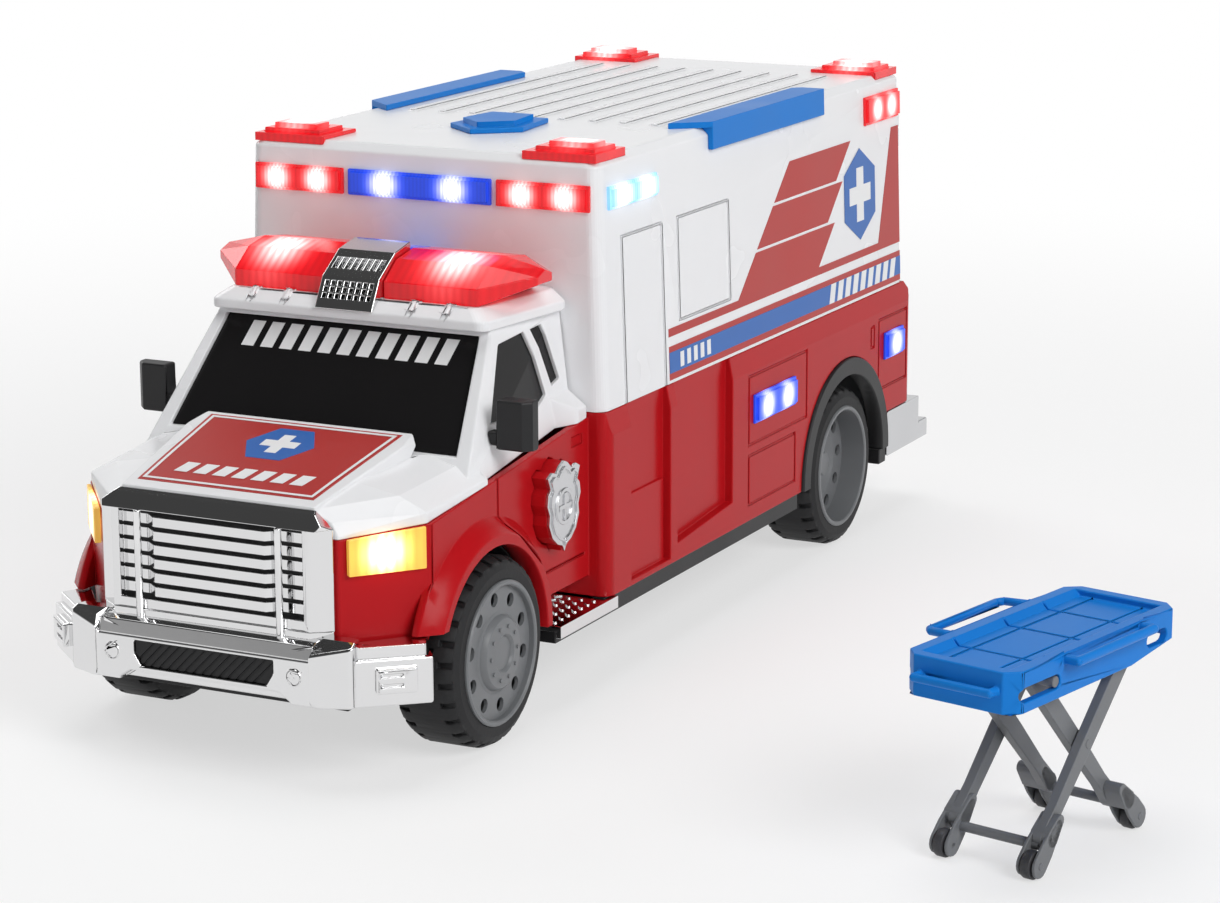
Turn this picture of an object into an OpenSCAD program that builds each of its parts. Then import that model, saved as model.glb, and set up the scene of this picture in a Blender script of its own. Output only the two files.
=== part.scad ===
// Toy ambulance with lights, opening rear doors and a folding stretcher.
// +Z is up, the ground is z = 0, the front faces -Y and the driver's side is +X.

/* [Vehicle] */
// Length over both bumpers
overall_l = 330; // [328:0.5:334]
// Distance from the front bumper's face to the front axle
front_overhang = 49.7; // [49:0.1:50.5]
// Distance from the front axle to the front of the white box
cab_gap = 56.7; // [56:0.1:58]
// Distance from the rear axle to the rear bumper's face
rear_overhang = 66.3; // [65.5:0.1:67]
// Height of the chassis underside above the ground
ground_gap = 18; // [17:0.1:19]
// Width over the red skirt
skirt_w = 108.6; // [107:0.2:111]
// Width of the cab at the doors
cab_w = 97; // [96:0.2:99]

/* [Patient box] */
// How far the rear bumper stands behind the white box
rear_reach = 19.2; // [18.6:0.1:20]
// Height of the white box above the red skirt
module_h = 64.6; // [61:0.2:68]
// Width of the white box at its foot
module_w = 106; // [105:0.2:107]
// How much each side leans in from foot to roof
module_draft = 2; // [1:0.1:3]
// Height of the red skirt
skirt_h = 48.5; // [46:0.5:51]
// How far the skirt reaches behind the white box
skirt_tail = 4.6; // [4:0.2:6]
// Wall of the white mouldings
wall = 2.2; // [1.8:0.1:2.6]
// Wall of the red skirt
skirt_wall = 4.2; // [3.8:0.1:4.6]
// Height of the rear door opening above the skirt
door_rise = 56.6; // [54:0.2:58]
// Half width of the rear door opening
door_open_hw = 44.8; // [43:0.2:46]

/* [Wheels] */
// Radius of the tyres
tyre_r = 23.6; // [22.5:0.1:24.4]
// Width of the tyres
tyre_w = 18; // [16:0.5:19]
// Radius of the rims
rim_r = 18; // [17:0.1:19]
// Radius of the steel axles
axle_r = 1.5; // [1.2:0.1:2]
// Radius of the front wheel arches
arch_r = 26.4; // [25.6:0.1:27.2]
// Outer radius of the black rear arch trims
trim_r = 32.5; // [31.5:0.1:33.5]
// Inner radius of the black rear arch trims
trim_in_r = 27.4; // [26.6:0.1:28]

/* [Stretcher] */
// Length of the bed
bed_l = 69; // [66:0.5:74]
// Width of the bed
bed_w = 29; // [28:0.2:32]
// Depth of the bed's side walls
bed_h = 9.5; // [8.5:0.1:11]
// Height of the leg pivots above the ground
pivot_z = 44.5; // [42:0.5:47]
// Distance of the leg pivots from the middle of the bed
pivot_reach = 17.9; // [17:0.1:18.5]
// Distance of the casters from the middle of the bed
caster_reach = 21; // [20:0.1:22.5]
// Radius of the casters
caster_r = 3.2; // [2.8:0.1:3.6]

/* [Hidden] */
$fn = 48;

// Colours
white = [0.93, 0.94, 0.95];
red = [0.72, 0.06, 0.06];
black = [0.07, 0.07, 0.08];
chrome = [0.82, 0.83, 0.85];
silver = [0.70, 0.71, 0.73];
grey = [0.36, 0.37, 0.39];
rim_grey = [0.46, 0.48, 0.50];
trim_blue = [0.12, 0.38, 0.75];
lens_blue = [0.10, 0.20, 0.90];
lens_red = [0.90, 0.06, 0.08];
amber = [1.0, 0.72, 0.12];

// Shared clearances
overrun = 1;
fit = 0.3;
seat_gap = 0.15;
running = 0.05;
groove_w = 0.7;
groove_depth = 0.5;

// Main stations along the vehicle
front_y = -overall_l / 2;
rear_y = overall_l / 2;
front_axle_y = front_y + front_overhang;
rear_axle_y = rear_y - rear_overhang;
module_front_y = front_axle_y + cab_gap;
module_rear_y = rear_y - rear_reach;
module_l = module_rear_y - module_front_y;
// Run of the skirt from the front of the box to the rear arch
run_l = rear_axle_y - trim_r - module_front_y;
skirt_rear_y = module_rear_y + skirt_tail;

// Main heights
sill_h = 4.9;
sill_top_z = ground_gap + sill_h;
belt_z = sill_top_z + skirt_h;
roof_z = belt_z + module_h;
axle_z = tyre_r;

// Main half widths
skirt_hw = skirt_w / 2;
cab_hw = cab_w / 2;
module_hw = module_w / 2;
wheel_inset = 1;
wheel_out_x = skirt_hw - wheel_inset;
wheel_in_x = wheel_out_x - tyre_w;

// Wheel arches and tubs
tub_t = 1.8;
tub_in_x = wheel_in_x - 2 * tub_t;
cab_inner_hw = cab_hw - wall;
skirt_inner_hw = skirt_hw - skirt_wall;

// Chassis
pan_t = 3;
pan_top_z = ground_gap + pan_t;
pan_hw = 33;
pan_nose = 37;
pan_front_y = front_axle_y - pan_nose;
sill_inset = 1.3;
sill_hw = skirt_hw - sill_inset;
sill_t = 3.5;
bearing_l = 9;
bearing_w = 10;
bearing_h = 5;
post_r = 3.5;
post_hole_r = 1.2;
post_xs = [-25, 25];
post_set = 13.3;
post_ys = [module_front_y + run_l * 0.165, module_front_y + run_l * 0.822, rear_axle_y + post_set];
valance_h = 5;
valance_rib = 1.2;

// Floor of the patient box
floor_z = 38;
floor_t = 2;
floor_top_z = floor_z + floor_t;
hump_wall = 2;
hump_gap = 0.6;

// Cab and bonnet
nose_set = 8.5;
nose_y = front_y + nose_set;
nose_hw = 33;
lamp_set = 25;
lamp_y = front_y + lamp_set;
lamp_inset = 1;
lamp_x = cab_hw - lamp_inset;
cab_foot_rise = 5.6;
cab_foot_z = sill_top_z + cab_foot_rise;
cab_belt_drop = [10.4, 1.4];
cab_belt_front_z = belt_z - cab_belt_drop[0];
cab_belt_rear_z = belt_z - cab_belt_drop[1];
bonnet_set = 3.3;
bonnet_rear_y = front_axle_y + bonnet_set;
bonnet_front_drop = 5.6;
bonnet_front_z = belt_z - bonnet_front_drop;
bonnet_rear_rise = 4;
bonnet_rear_z = belt_z + bonnet_rear_rise;
bonnet_lamp_rise = 3.7;
bonnet_lamp_z = bonnet_front_z + bonnet_lamp_rise;
bonnet_front_hw = 25.5;
bonnet_deck_hw = 33;
bonnet_deck_drop = 0.2;
bonnet_edge = 2;
bonnet_edge_drop = 2.4;
bonnet_skirt = 6;
bonnet_lift = 0.7;
panel_hw = [27, 32];
panel_foot_hw = 34;
panel_top_hw = 29.2;
panel_h = 6;
shoulder_hw = 42;
shoulder_drop = 3.4;
screen_low_set = 6.2;
screen_low_y = front_axle_y - screen_low_set;
screen_low_drop = 9.4;
screen_low_z = belt_z - screen_low_drop;
screen_top_set = 33;
screen_top_y = module_front_y - screen_top_set;
screen_top_rise = 27.6;
screen_top_z = belt_z + screen_top_rise;
screen_depth = 4;
screen_foot_hw = 41.2;
screen_head_hw = 36.6;
screen_foot_drop = 0.6;
screen_head_rise = 25;
gh_low_inset = [1.3, 3.3];
gh_low_front_hw = cab_hw - gh_low_inset[0];
gh_low_rear_hw = cab_hw - gh_low_inset[1];
gh_top_front_hw = 38.8;
gh_top_rear_hw = 40.4;
gusset_in_x = 41;
gusset_l = 15;
gusset_h = 7.4;
gusset_drop = 5.6;
window_in_x = 30;
// Corners of the side windows from the box front and the belt, and which way each moves in
front_window_at = [[-32, 22.7], [-19, 23.7], [-13.2, 6.6], [-19.6, 4], [-43.6, 5.4]];
front_window_way = [[1, -1], [-1, -1], [-1, 1], [0, 1], [1, 1]];
rear_window_at = [[-15.8, 23.7], [-10.4, 24.1], [-4.6, 9.2], [-9.4, 8.2]];
rear_window_way = [[1, -1], [-1, -1], [-1, 1], [1, 1]];
lip_rise = 26.6;
lip_z = belt_z + lip_rise;
lip_t = 2.4;
lip_h = 5.2;
lip_slope = 3.6;
lip_reach = 5;
lip_front_y = screen_top_y - lip_reach;
lip_front_hw = 39.8;
lip_rear_hw = 43.5;
lip_corner_r = 3;
pane_inset = 0.8;
glazing_drop = 2;
bump_r = 1.5;
bump_l = 4;
bump_tilt = 36;
bump_xs = [18.2, 28.1];
flare_inset = 1.7;
flare_x = skirt_hw - flare_inset;
flare_w = 6.9;
flare_r = arch_r + flare_w;
flare_edge = 2.6;
door_top_set = 8;
door_foot = 6;
door_knee = 30;
door_rear = 2;
handle_recess = [9, 3, 6, 3.4];

// Front end
grille_hw = 27.2;
grille_side = 5;
grille_rise = 19.4;
grille_low_z = ground_gap + grille_rise;
grille_drop = [9.5, 5.4];
grille_top_z = belt_z - grille_drop[0];
grille_cap_z = belt_z - grille_drop[1];
grille_set = 4.6;
grille_front_y = front_y + grille_set;
grille_cap_proud = 1;
grille_cap_slope = 2;
grille_cap_edge = 0.8;
pillar_proud = 0.6;
bar_count = 6;
bar_h = 2.5;
bar_mid_hw = 15.5;
bar_step_hw = 18.2;
bar_step = 2.2;
bar_proud = 0.4;
backing_t = 1;
rod_at_x = 19.6;
rod_r = 0.9;
rod_drop = 2.5;
bumper_rise = [2.5, 16.8];
bumper_low_z = ground_gap + bumper_rise[0];
bumper_top_z = ground_gap + bumper_rise[1];
bumper_t = 6.5;
bumper_mid_hw = 29.8;
bumper_block_hw = 38.6;
block_set = 3.4;
bumper_block_y = front_y + block_set;
wing_set = 16.2;
bumper_wing_y = front_y + wing_set;
wing_inset = 0.8;
wing_x = skirt_hw - wing_inset;
nose_lap = 2;
bumper_bevel = 3;
block_proud = 0.9;
block_rise = 1.4;
block_bevel = 1.6;
round_lamp_x = 25.4;
round_lamp_r = 1.9;
round_lamp_t = 0.7;
under_cut = [6, 9];
under_cut_h = [0.6, 2.6];
wing_lamp_rise = 3.5;
wing_lamp_h = 6;
wing_lamp_t = 1.6;
wing_slot = 0.7;
mesh_hw = 19.5;
mesh_low_hw = 17.5;
mesh_margin = [3.8, 4.2];
mesh_low_z = bumper_low_z + mesh_margin[0];
mesh_top_z = bumper_top_z - mesh_margin[1];
mesh_depth = 1.8;
mesh_pitch = 2.4;
lamp_drop = [20.8, 10.6];
lamp_low_z = belt_z - lamp_drop[0];
lamp_high_z = belt_z - lamp_drop[1];
lamp_t = 1.8;
lamp_ends = [2, 0.6];
lamp_slope = [1.6, 2];

// Mirrors
mirror_set = 11.8;
mirror_y = front_axle_y + mirror_set;
mirror_t = 5;
mirror_in_x = 47.6;
mirror_out_x = 56.7;
mirror_rise = [0.2, 12.6];
mirror_low_z = belt_z + mirror_rise[0];
mirror_high_z = belt_z + mirror_rise[1];
mirror_bevel = 2;
mirror_face = 0.8;
arm_h = 3.4;
arm_in_x = 43.4;

// Light bar
bar_base_z = lip_z + lip_h;
bar_high = 10.6;
bar_set = 5;
bar_front_y = lip_front_y + bar_set;
bar_gap = 4;
bar_rear_y = module_front_y - bar_gap;
bar_depth = bar_rear_y - bar_front_y;
bar_tip_x = 46.3;
bar_full_x = 35;
bar_in_x = 8.4;
bar_tip_rise = 6;
bar_tip_z = bar_base_z + bar_tip_rise;
bar_tip_hw = 4;
bar_tip_steps = [1.4, 0.6, 2];
louvre_proud = 1.6;
louvre_foot = 0.8;
slot_count = 8;
slot_rows = 3;
slot_w = 1;
slot_depth = 0.9;
slot_rise = 0.4;
slot_pitch = 1.5;
slot_set = 3;
slot_l = 3.6;

// Box lamps, seams and roof
corner_r = 3.5;
roof_bevel = 2.2;
seam_w = 0.45;
seam_depth = 0.3;
door_seam_drop = 21;
door_seam_shares = [[0.104, 0.296, 0], [0.37, 0.63, 0.245]];
lens_t = 1.6;
lens_bevel = 0.8;
lens_drop = [13.4, 6.6];
front_lens_low_z = roof_z - lens_drop[0];
front_lens_high_z = roof_z - lens_drop[1];
blue_lens_hw = 21;
red_lens_in = 22.6;
red_lens_out = 49.2;
side_lens_set = 5.9;
side_lens_y = module_front_y + side_lens_set;
side_lens_l = 27.7;
side_lens_h = 6;
rear_lens_l = 26;
rear_lens_h = 8.4;
skirt_lens_h = 8.2;
skirt_lens_rise = 27.5;
skirt_lens_z = sill_top_z + skirt_lens_rise;
skirt_lens_y = module_front_y + run_l * 0.721;
skirt_lens_l = run_l * 0.2276;
tail_lens_set = 23;
tail_lens_y = skirt_rear_y - tail_lens_set;
tail_lens_l = 14.6;
roof_field_hw = 37;
roof_field_t = 0.5;
roof_rib_w = 2;
corner_lamp_w = 21;
corner_lamp_l = 17;
corner_lamp_h = 3.2;
roof_trim_y = module_front_y + module_l * 0.286;
roof_trim_l = module_l * 0.411;
roof_trim_w = 8;
roof_trim_drop = 6;
roof_trim_t = 1.6;
roof_trim_cut = 2;
roof_piece_y = module_front_y + module_l * 0.137;
roof_piece_l = 28;
roof_piece_hw = 11;
roof_piece_h = 2.8;

// Skirt posts and panels, measured from the front of the box
post1_end = run_l * 0.109;
post2_at = run_l * 0.2965;
post2_w = run_l * 0.036;
post3_at = run_l * 0.613;
recess_foot = 1.6;
hatch_margin = 1;
panel_margin = 3;
locker_at = run_l * 0.697;
locker_end = run_l * 0.96;
lamp_frame = [6, 14];
locker_frame = [4.4, 19];
tail_frame = [4, 9, 13];
tail_tag = [10, 7, 5, 12];
recess_depth = 2.4;
rail_h = 5;
skirt_bevel = 1.2;
skirt_bevel_h = 6;
tail_bevel = 4;
hatch_h = 19;
hatch_t = 0.8;

// Shield button
key_set = 35;
key_y = front_axle_y + key_set;
key_rise = 29.4;
key_z = sill_top_z + key_rise;
key_w = 18;
key_h = 23.4;
key_proud = 4.4;
key_travel = 1.5;
key_plate_t = 0.7;
key_flange = 1.4;
key_flange_t = 1.5;
key_gap = 0.35;

// Steps
step_set = 29.3;
step_front_y = front_axle_y + step_set;
step_in_x = 41;
step_proud = 0.4;
step_out_x = skirt_hw + step_proud;
step_t = 1.6;
step_lip_h = 3.2;
step_tail = 5;
tread_r = 0.7;
tread_pitch = 3.6;
tread_margin = 3;

// Rear bumper
rb_l = 18.7;
rb_front_y = skirt_rear_y - rb_l;
rb_rise = [1.5, 7, 15.6];
rb_low_z = ground_gap + rb_rise[0];
rb_step_z = ground_gap + rb_rise[1];
rb_top_z = ground_gap + rb_rise[2];
rb_beam = 7;
rb_beam_y = rear_y - rb_beam;
trim_proud = 0.8;
rb_wall = 3;

// Rear doors
door_gap = 0.5;
leaf_t = 3;
leaf_inset = 3;
leaf_out_y = skirt_rear_y - leaf_inset;
leaf_rise = 2.6;
leaf_low_z = rb_top_z + leaf_rise;
door_top_z = belt_z + door_rise;
leaf_high_z = door_top_z - door_gap;
leaf_out_x = door_open_hw - door_gap;
knuckle_r = 2;
pin_r = 1;
hinge_set = 1.2;
hinge_x = door_open_hw + hinge_set;
hinge_gap = 0.4;
hinge_y = skirt_rear_y + knuckle_r + hinge_gap;
knuckle_h = 5.6;
hinge_lug_h = 4;
strap_reach = 13;
strap_t = 1.8;
hinge_ends = [6, 16];
hinge_low_z = leaf_low_z + hinge_ends[0];
hinge_high_z = leaf_high_z - hinge_ends[1];
window_w = 24;
window_h = 26;
window_rise = 20;
window_z = belt_z + window_rise;
door_panel_margin = 5;
handle_rise = 6;
handle_z = belt_z + handle_rise;
handle_set = 4;
handle_l = 14;
handle_w = 2.4;
handle_t = 1;
handle_reach = 2.2;
tail_lamp_h = 13;
axle_end = 6;
axle_out_x = wheel_out_x - axle_end;
tyre_shoulder = 3;
lug_count = 28;
lug_w = 1.5;
lug_l = 4.5;
lug_depth = 1.3;
rim_proud = 0.4;
rim_face_set = 2;
rim_dish = 9;
rim_hole_count = 10;

// Electrics
cell_r = 7.25;
cell_l = 50.5;
cell_tip_r = 2.7;
cell_tip = 1;
bay_hw = 15.6;
spring_room = 2.75;
bay_l = cell_l + 2 * spring_room;
bay_set = 28.6;
bay_y = module_front_y + bay_set + bay_l / 2;
bay_wall = 1.6;
cover_t = 1.8;
screw_r = 1.1;
screw_head_r = 2.2;
screw_head_h = 1.4;
sink_r = 2.5;
sink_h = 5;
tab_hw = 4.5;
tab_l = 7;
boss_h = 9;
board_set = 40;
board_y = front_axle_y + board_set;
board_w = 40;
board_l = 30;
board_t = 1.6;
standoff_h = 4;
standoff_r = 2;
speaker_set = 25;
speaker_y = rear_axle_y + speaker_set;
speaker_r = 13;
speaker_h = 7;
vent_r = 1;
switch_w = 8;
switch_t = [5, 3.4, 1];
grip_l = 12;
grip_pitch = 3;
grip_w = 1;
grip_hw = 6;
tab_y = bay_y - bay_l / 2 - tab_l;
tab_screw_y = tab_y + tab_l / 2;

// Stretcher
bed_hw = bed_w / 2;
bed_hl = bed_l / 2;
bed_lift = 0.75;
bed_top_z = pivot_z + bed_h / 2 + bed_lift;
bed_low_z = bed_top_z - bed_h;
bed_wall = 2;
bed_end_t = 1.4;
bed_top_t = 1.2;
bed_rise = 2.7;
bed_rim = 3.2;
bed_dish = 1.5;
bed_corner = 3.2;
rail_r = 1.1;
rail_out = 3.2;
grab_r = 1;
grab_reach = 2.4;
grab_drop = 4.4;
spare_slot = [4, 3];
leg_t = 2.4;
leg_w = 4.6;
leg_gap = 0.4;
outer_leg_x = bed_hw - bed_wall - leg_gap;
inner_leg_x = outer_leg_x - leg_t - leg_gap;
leg_pin_r = 1.3;
cross_pin_r = 1.1;
foot_w = 5;
foot_r = 2.8;
foot_l = 10;
foot_lap = 4;
foot_x = 11.3;
caster_w = 2.4;
caster_gap = 0.3;
caster_pin_r = 0.9;
tie_r = 1.2;
rise = pivot_z - caster_r;
cross_z = caster_r + rise * caster_reach / (caster_reach + pivot_reach);
fold_travel = 12.4;
stretcher_at = [194, -123, 0];
stretcher_yaw = -12.5;

// Helpers
module pair() {
  children();
  mirror([1, 0, 0]) children();
}

module box(x0, x1, y0, y1, z0, z1) {
  translate([x0, y0, z0]) cube([x1 - x0, y1 - y0, z1 - z0]);
}

// Outline in Y and Z, run along X
module prism_x(points, x0, x1) {
  translate([x0, 0, 0]) rotate([90, 0, 90]) linear_extrude(x1 - x0) polygon(points);
}

// Outline in X and Z, run along Y
module prism_y(points, y0, y1) {
  translate([0, y1, 0]) rotate([90, 0, 0]) linear_extrude(y1 - y0) polygon(points);
}

// Outline in X and Y, run up Z
module prism_z(points, z0, z1) {
  translate([0, 0, z0]) linear_extrude(z1 - z0) polygon(points);
}

module rod_x(x0, x1, r) {
  translate([x0, 0, 0]) rotate([0, 90, 0]) cylinder(h = x1 - x0, r = r);
}

module rod_y(y0, y1, r) {
  translate([0, y0, 0]) rotate([-90, 0, 0]) cylinder(h = y1 - y0, r = r);
}

module at_wheel(y) {
  translate([0, y, axle_z]) children();
}

// Mirrors the points of a half outline to the other side of x = 0
function both_sides(half) =
  concat(half, [for (i = [len(half) - 1 : -1 : 0]) [-half[i][0], half[i][1]]]);

module rounded_plan(hw, y0, y1, r) {
  union() {
    translate([-hw + r, y0]) square([2 * (hw - r), y1 - y0]);
    translate([-hw, y0 + r]) square([2 * hw, y1 - y0 - 2 * r]);
    for (x = [-hw + r, hw - r], y = [y0 + r, y1 - r]) translate([x, y]) circle(r, $fn = 32);
  }
}

// Chassis
module front_tub() {
  at_wheel(front_axle_y) difference() {
    rod_x(tub_in_x, cab_inner_hw - fit, arch_r + tub_t);
    rod_x(tub_in_x + tub_t, cab_inner_hw + overrun, arch_r);
  }
}

module chassis() {
  tail_y = skirt_rear_y - 2 * fit;
  front_wing_y = front_axle_y + arch_r + 2 * tub_t;
  rear_wing_y = rear_axle_y - trim_r - fit;
  color(black) difference() {
    union() {
      box(-pan_hw, pan_hw, pan_front_y, tail_y, ground_gap, pan_top_z);
      box(-skirt_inner_hw, skirt_inner_hw, front_wing_y, rear_wing_y, ground_gap, pan_top_z);
      pair() box(sill_hw - sill_t, sill_hw, module_front_y, rear_wing_y, ground_gap, sill_top_z);
      pair() box(step_in_x, sill_hw, step_front_y, module_front_y, ground_gap, pan_top_z);
      for (y = [front_axle_y, rear_axle_y])
        pair() box(tub_in_x - bearing_l, tub_in_x + tub_t, y - bearing_w / 2, y + bearing_w / 2,
          ground_gap, axle_z + bearing_h);
      pair() intersection() {
        front_tub();
        prism_z(cab_plan(wall + fit), ground_gap, belt_z);
      }
      for (x = post_xs, y = post_ys)
        translate([x, y, ground_gap]) cylinder(h = floor_z - ground_gap, r = post_r);
      for (x = [-bay_hw - bay_wall, bay_hw])
        box(x, x + bay_wall, bay_y - bay_l / 2, bay_y + bay_l / 2, ground_gap, floor_z);
      for (y = [bay_y - bay_l / 2 - bay_wall, bay_y + bay_l / 2])
        box(-bay_hw - bay_wall, bay_hw + bay_wall, y, y + bay_wall, ground_gap, floor_z);
      box(-tab_hw - bay_wall, tab_hw + bay_wall, tab_y - bay_wall, tab_y + tab_l, ground_gap,
        ground_gap + boss_h);
      for (x = [-board_w / 2, board_w / 2], y = [-board_l / 2, board_l / 2])
        translate([x * 0.8, board_y + y * 0.8, ground_gap])
          cylinder(h = pan_t + standoff_h, r = standoff_r);
      box(-pan_hw, pan_hw, pan_front_y - valance_rib, pan_front_y + pan_t, ground_gap - valance_rib,
        ground_gap + valance_h);
    }
    box(-bay_hw, bay_hw, bay_y - bay_l / 2, bay_y + bay_l / 2, ground_gap - overrun, pan_top_z + overrun);
    for (y = [front_axle_y, rear_axle_y])
      at_wheel(y) rod_x(-wheel_in_x, wheel_in_x, axle_r + running);
    for (x = post_xs, y = post_ys) translate([x, y, ground_gap - overrun]) {
      cylinder(h = floor_z - ground_gap + 2 * overrun, r = post_hole_r);
      cylinder(h = sink_h + overrun, r = sink_r);
    }
    cover_tab(seat_gap, ground_gap - overrun, ground_gap + cover_t + seat_gap);
    translate([0, tab_screw_y, ground_gap]) cylinder(h = boss_h + overrun, r = post_hole_r);
    for (i = [-1 : 1], j = [-2 : 2])
      translate([j * 4 * vent_r, speaker_y + i * 4 * vent_r, ground_gap - overrun])
        cylinder(h = pan_t + 2 * overrun, r = vent_r);
  }
}

// Red lower body
function cab_plan(inset) = both_sides([
  [nose_hw - inset * 0.6, nose_y + inset], [lamp_x - inset, lamp_y + inset * 0.6],
  [cab_hw - inset, lamp_y + inset + overrun], [cab_hw - inset, module_front_y + wall]]);

function belt_at(y) = cab_belt_front_z
  + (cab_belt_rear_z - cab_belt_front_z) * (y - lamp_y) / (module_front_y - lamp_y);

module below_belt(extra) {
  prism_x([[front_y, 0], [module_front_y + extra, 0],
    [module_front_y + extra, belt_at(module_front_y + extra)],
    [front_y, belt_at(front_y)]], -skirt_hw, skirt_hw);
}

module fender_flare() {
  at_wheel(front_axle_y) rotate([0, 90, 0]) rotate_extrude()
    polygon([[arch_r, cab_inner_hw], [arch_r, flare_x], [arch_r + flare_edge, flare_x],
      [flare_r, cab_hw - fit], [flare_r, cab_inner_hw]]);
}

module cab_lower() {
  difference() {
    union() {
      prism_z(cab_plan(0), cab_foot_z, belt_z);
      pair() intersection() {
        fender_flare();
        union() {
          box(0, skirt_hw, front_axle_y - flare_r, front_axle_y, bumper_top_z + fit, belt_z);
          box(0, skirt_hw, front_axle_y, front_axle_y + flare_r, pan_top_z + step_t + fit, belt_z);
        }
      }
    }
    prism_z(cab_plan(wall), cab_foot_z - overrun, belt_z + overrun);
    at_wheel(front_axle_y) rod_x(-skirt_hw, skirt_hw, arch_r);
    pair() door_lines();
    key_aperture();
  }
}

// Door seams and a handle recess
module door_lines() {
  seam_y = step_front_y + groove_w;
  top_y = front_axle_y + door_top_set;
  low_z = cab_foot_z + door_foot;
  knee_z = axle_z + door_knee;
  rear_belt = belt_at(module_front_y);
  x0 = cab_hw - groove_depth;
  x1 = skirt_hw;
  prism_x([[top_y, belt_z], [top_y + groove_w, belt_z], [top_y + groove_w, knee_z],
    [seam_y + groove_w, low_z], [seam_y, low_z], [top_y, knee_z]], x0, x1);
  box(x0, x1, seam_y, module_front_y - door_rear, low_z, low_z + groove_w);
  box(x0, x1, module_front_y - handle_recess[0], module_front_y - handle_recess[1],
    rear_belt - handle_recess[2], rear_belt - handle_recess[3]);
}

module skirt() {
  y_tail = skirt_rear_y;
  difference() {
    intersection() {
      translate([0, 0, sill_top_z]) linear_extrude(skirt_h)
        rounded_plan(skirt_hw, module_front_y, y_tail, corner_r);
      prism_y(both_sides([[skirt_hw, 0], [skirt_hw, belt_z - skirt_bevel_h],
        [skirt_hw - skirt_bevel, belt_z]]), front_y, rear_y);
      prism_x([[front_y, 0], [y_tail, 0], [y_tail, belt_z - tail_bevel],
        [y_tail - tail_bevel, belt_z], [front_y, belt_z]], -skirt_hw, skirt_hw);
    }
    box(-skirt_inner_hw, skirt_inner_hw, module_front_y + skirt_wall, y_tail - skirt_wall,
      sill_top_z - overrun, belt_z + overrun);
    pair() skirt_recesses();
    at_wheel(rear_axle_y) rod_x(-skirt_hw - overrun, skirt_hw + overrun, trim_r + seat_gap);
    box(-skirt_hw - overrun, skirt_hw + overrun, rb_front_y - fit, y_tail + overrun,
      sill_top_z - overrun, rb_top_z);
    box(-door_open_hw, door_open_hw, y_tail - skirt_wall - overrun, y_tail + overrun,
      sill_top_z, belt_z + overrun);
    pair() skirt_grooves();
  }
}

module skirt_recesses() {
  y0 = module_front_y;
  z0 = sill_top_z + rail_h;
  x0 = skirt_hw - recess_depth;
  x1 = skirt_hw + overrun;
  difference() {
    box(x0, x1, y0 + post1_end, y0 + post2_at, sill_top_z + recess_foot, belt_z + overrun);
    box(x0 - overrun, x0 + hatch_t, y0 + post1_end + hatch_margin, y0 + post2_at - hatch_margin,
      sill_top_z, z0 + hatch_h);
  }
  prism_x([[y0 + post2_at + post2_w, z0], [y0 + post3_at, z0 + panel_margin],
    [y0 + post3_at, belt_z + overrun], [y0 + post2_at + post2_w, belt_z + overrun]], x0, x1);
}

// Rectangular seam sunk into a side wall
module frame_groove(y0, y1, z0, z1) {
  difference() {
    box(skirt_hw - groove_depth, skirt_hw + overrun, y0, y1, z0, z1);
    box(skirt_hw - 2 * groove_depth, skirt_hw + 2 * overrun, y0 + groove_w, y1 - groove_w,
      z0 + groove_w, z1 - groove_w);
  }
}

module skirt_grooves() {
  y0 = module_front_y + locker_at;
  y1 = module_front_y + locker_end;
  z0 = skirt_lens_z;
  frame_groove(y0, rear_axle_y - trim_r * 0.9, z0 - lamp_frame[0], z0 + lamp_frame[1]);
  frame_groove(y0, y1, sill_top_z + locker_frame[0], sill_top_z + locker_frame[1]);
  frame_groove(tail_lens_y - tail_frame[0], skirt_rear_y - tail_frame[0], z0 - tail_frame[1],
    z0 + tail_frame[2]);
  frame_groove(tail_lens_y - tail_tag[0], tail_lens_y - tail_tag[1], z0 + tail_tag[2], z0 + tail_tag[3]);
}

// Fixed hinge lugs: the lower pair on the skirt, the upper pair on the white box
module hinge_lug(z, back_y) {
  difference() {
    union() {
      translate([hinge_x, hinge_y, z]) cylinder(h = hinge_lug_h, r = knuckle_r);
      box(door_open_hw, hinge_x + knuckle_r, back_y, hinge_y, z, z + hinge_lug_h);
    }
    translate([hinge_x, hinge_y, z - overrun]) cylinder(h = hinge_lug_h + 2 * overrun, r = pin_r);
  }
}

module lower_body() {
  color(red) {
    intersection() {
      cab_lower();
      below_belt(wall);
    }
    skirt();
    pair() hinge_lug(hinge_low_z, skirt_rear_y - overrun);
    mirror([1, 0, 0]) shield(cab_hw - overrun, cab_hw + key_proud - key_plate_t, 0);
  }
}

// Shield outline with scroll ends, in Y and Z about its own middle
shield_shares = [[0, -0.5], [0.05, -0.43], [0.2, -0.39], [0.35, -0.3], [0.45, -0.15], [0.43, -0.04],
  [0.5, 0.07], [0.47, 0.19], [0.4, 0.24], [0.48, 0.37], [0.35, 0.42], [0.22, 0.39], [0.12, 0.46], [0, 0.5]];

module shield(x0, x1, grow) {
  w = key_w + 2 * grow;
  h = key_h + 2 * grow;
  translate([0, key_y, key_z])
    prism_x(both_sides([for (p = shield_shares) [p[0] * w, p[1] * h]]), x0, x1);
}

module key_aperture() {
  shield(cab_inner_hw - overrun, cab_hw + overrun, key_gap);
}

module button_key() {
  color(red) {
    shield(cab_inner_hw - seat_gap, cab_hw + key_proud - key_plate_t, 0);
    shield(cab_inner_hw - seat_gap - key_flange_t, cab_inner_hw - seat_gap, key_flange);
  }
}

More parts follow.
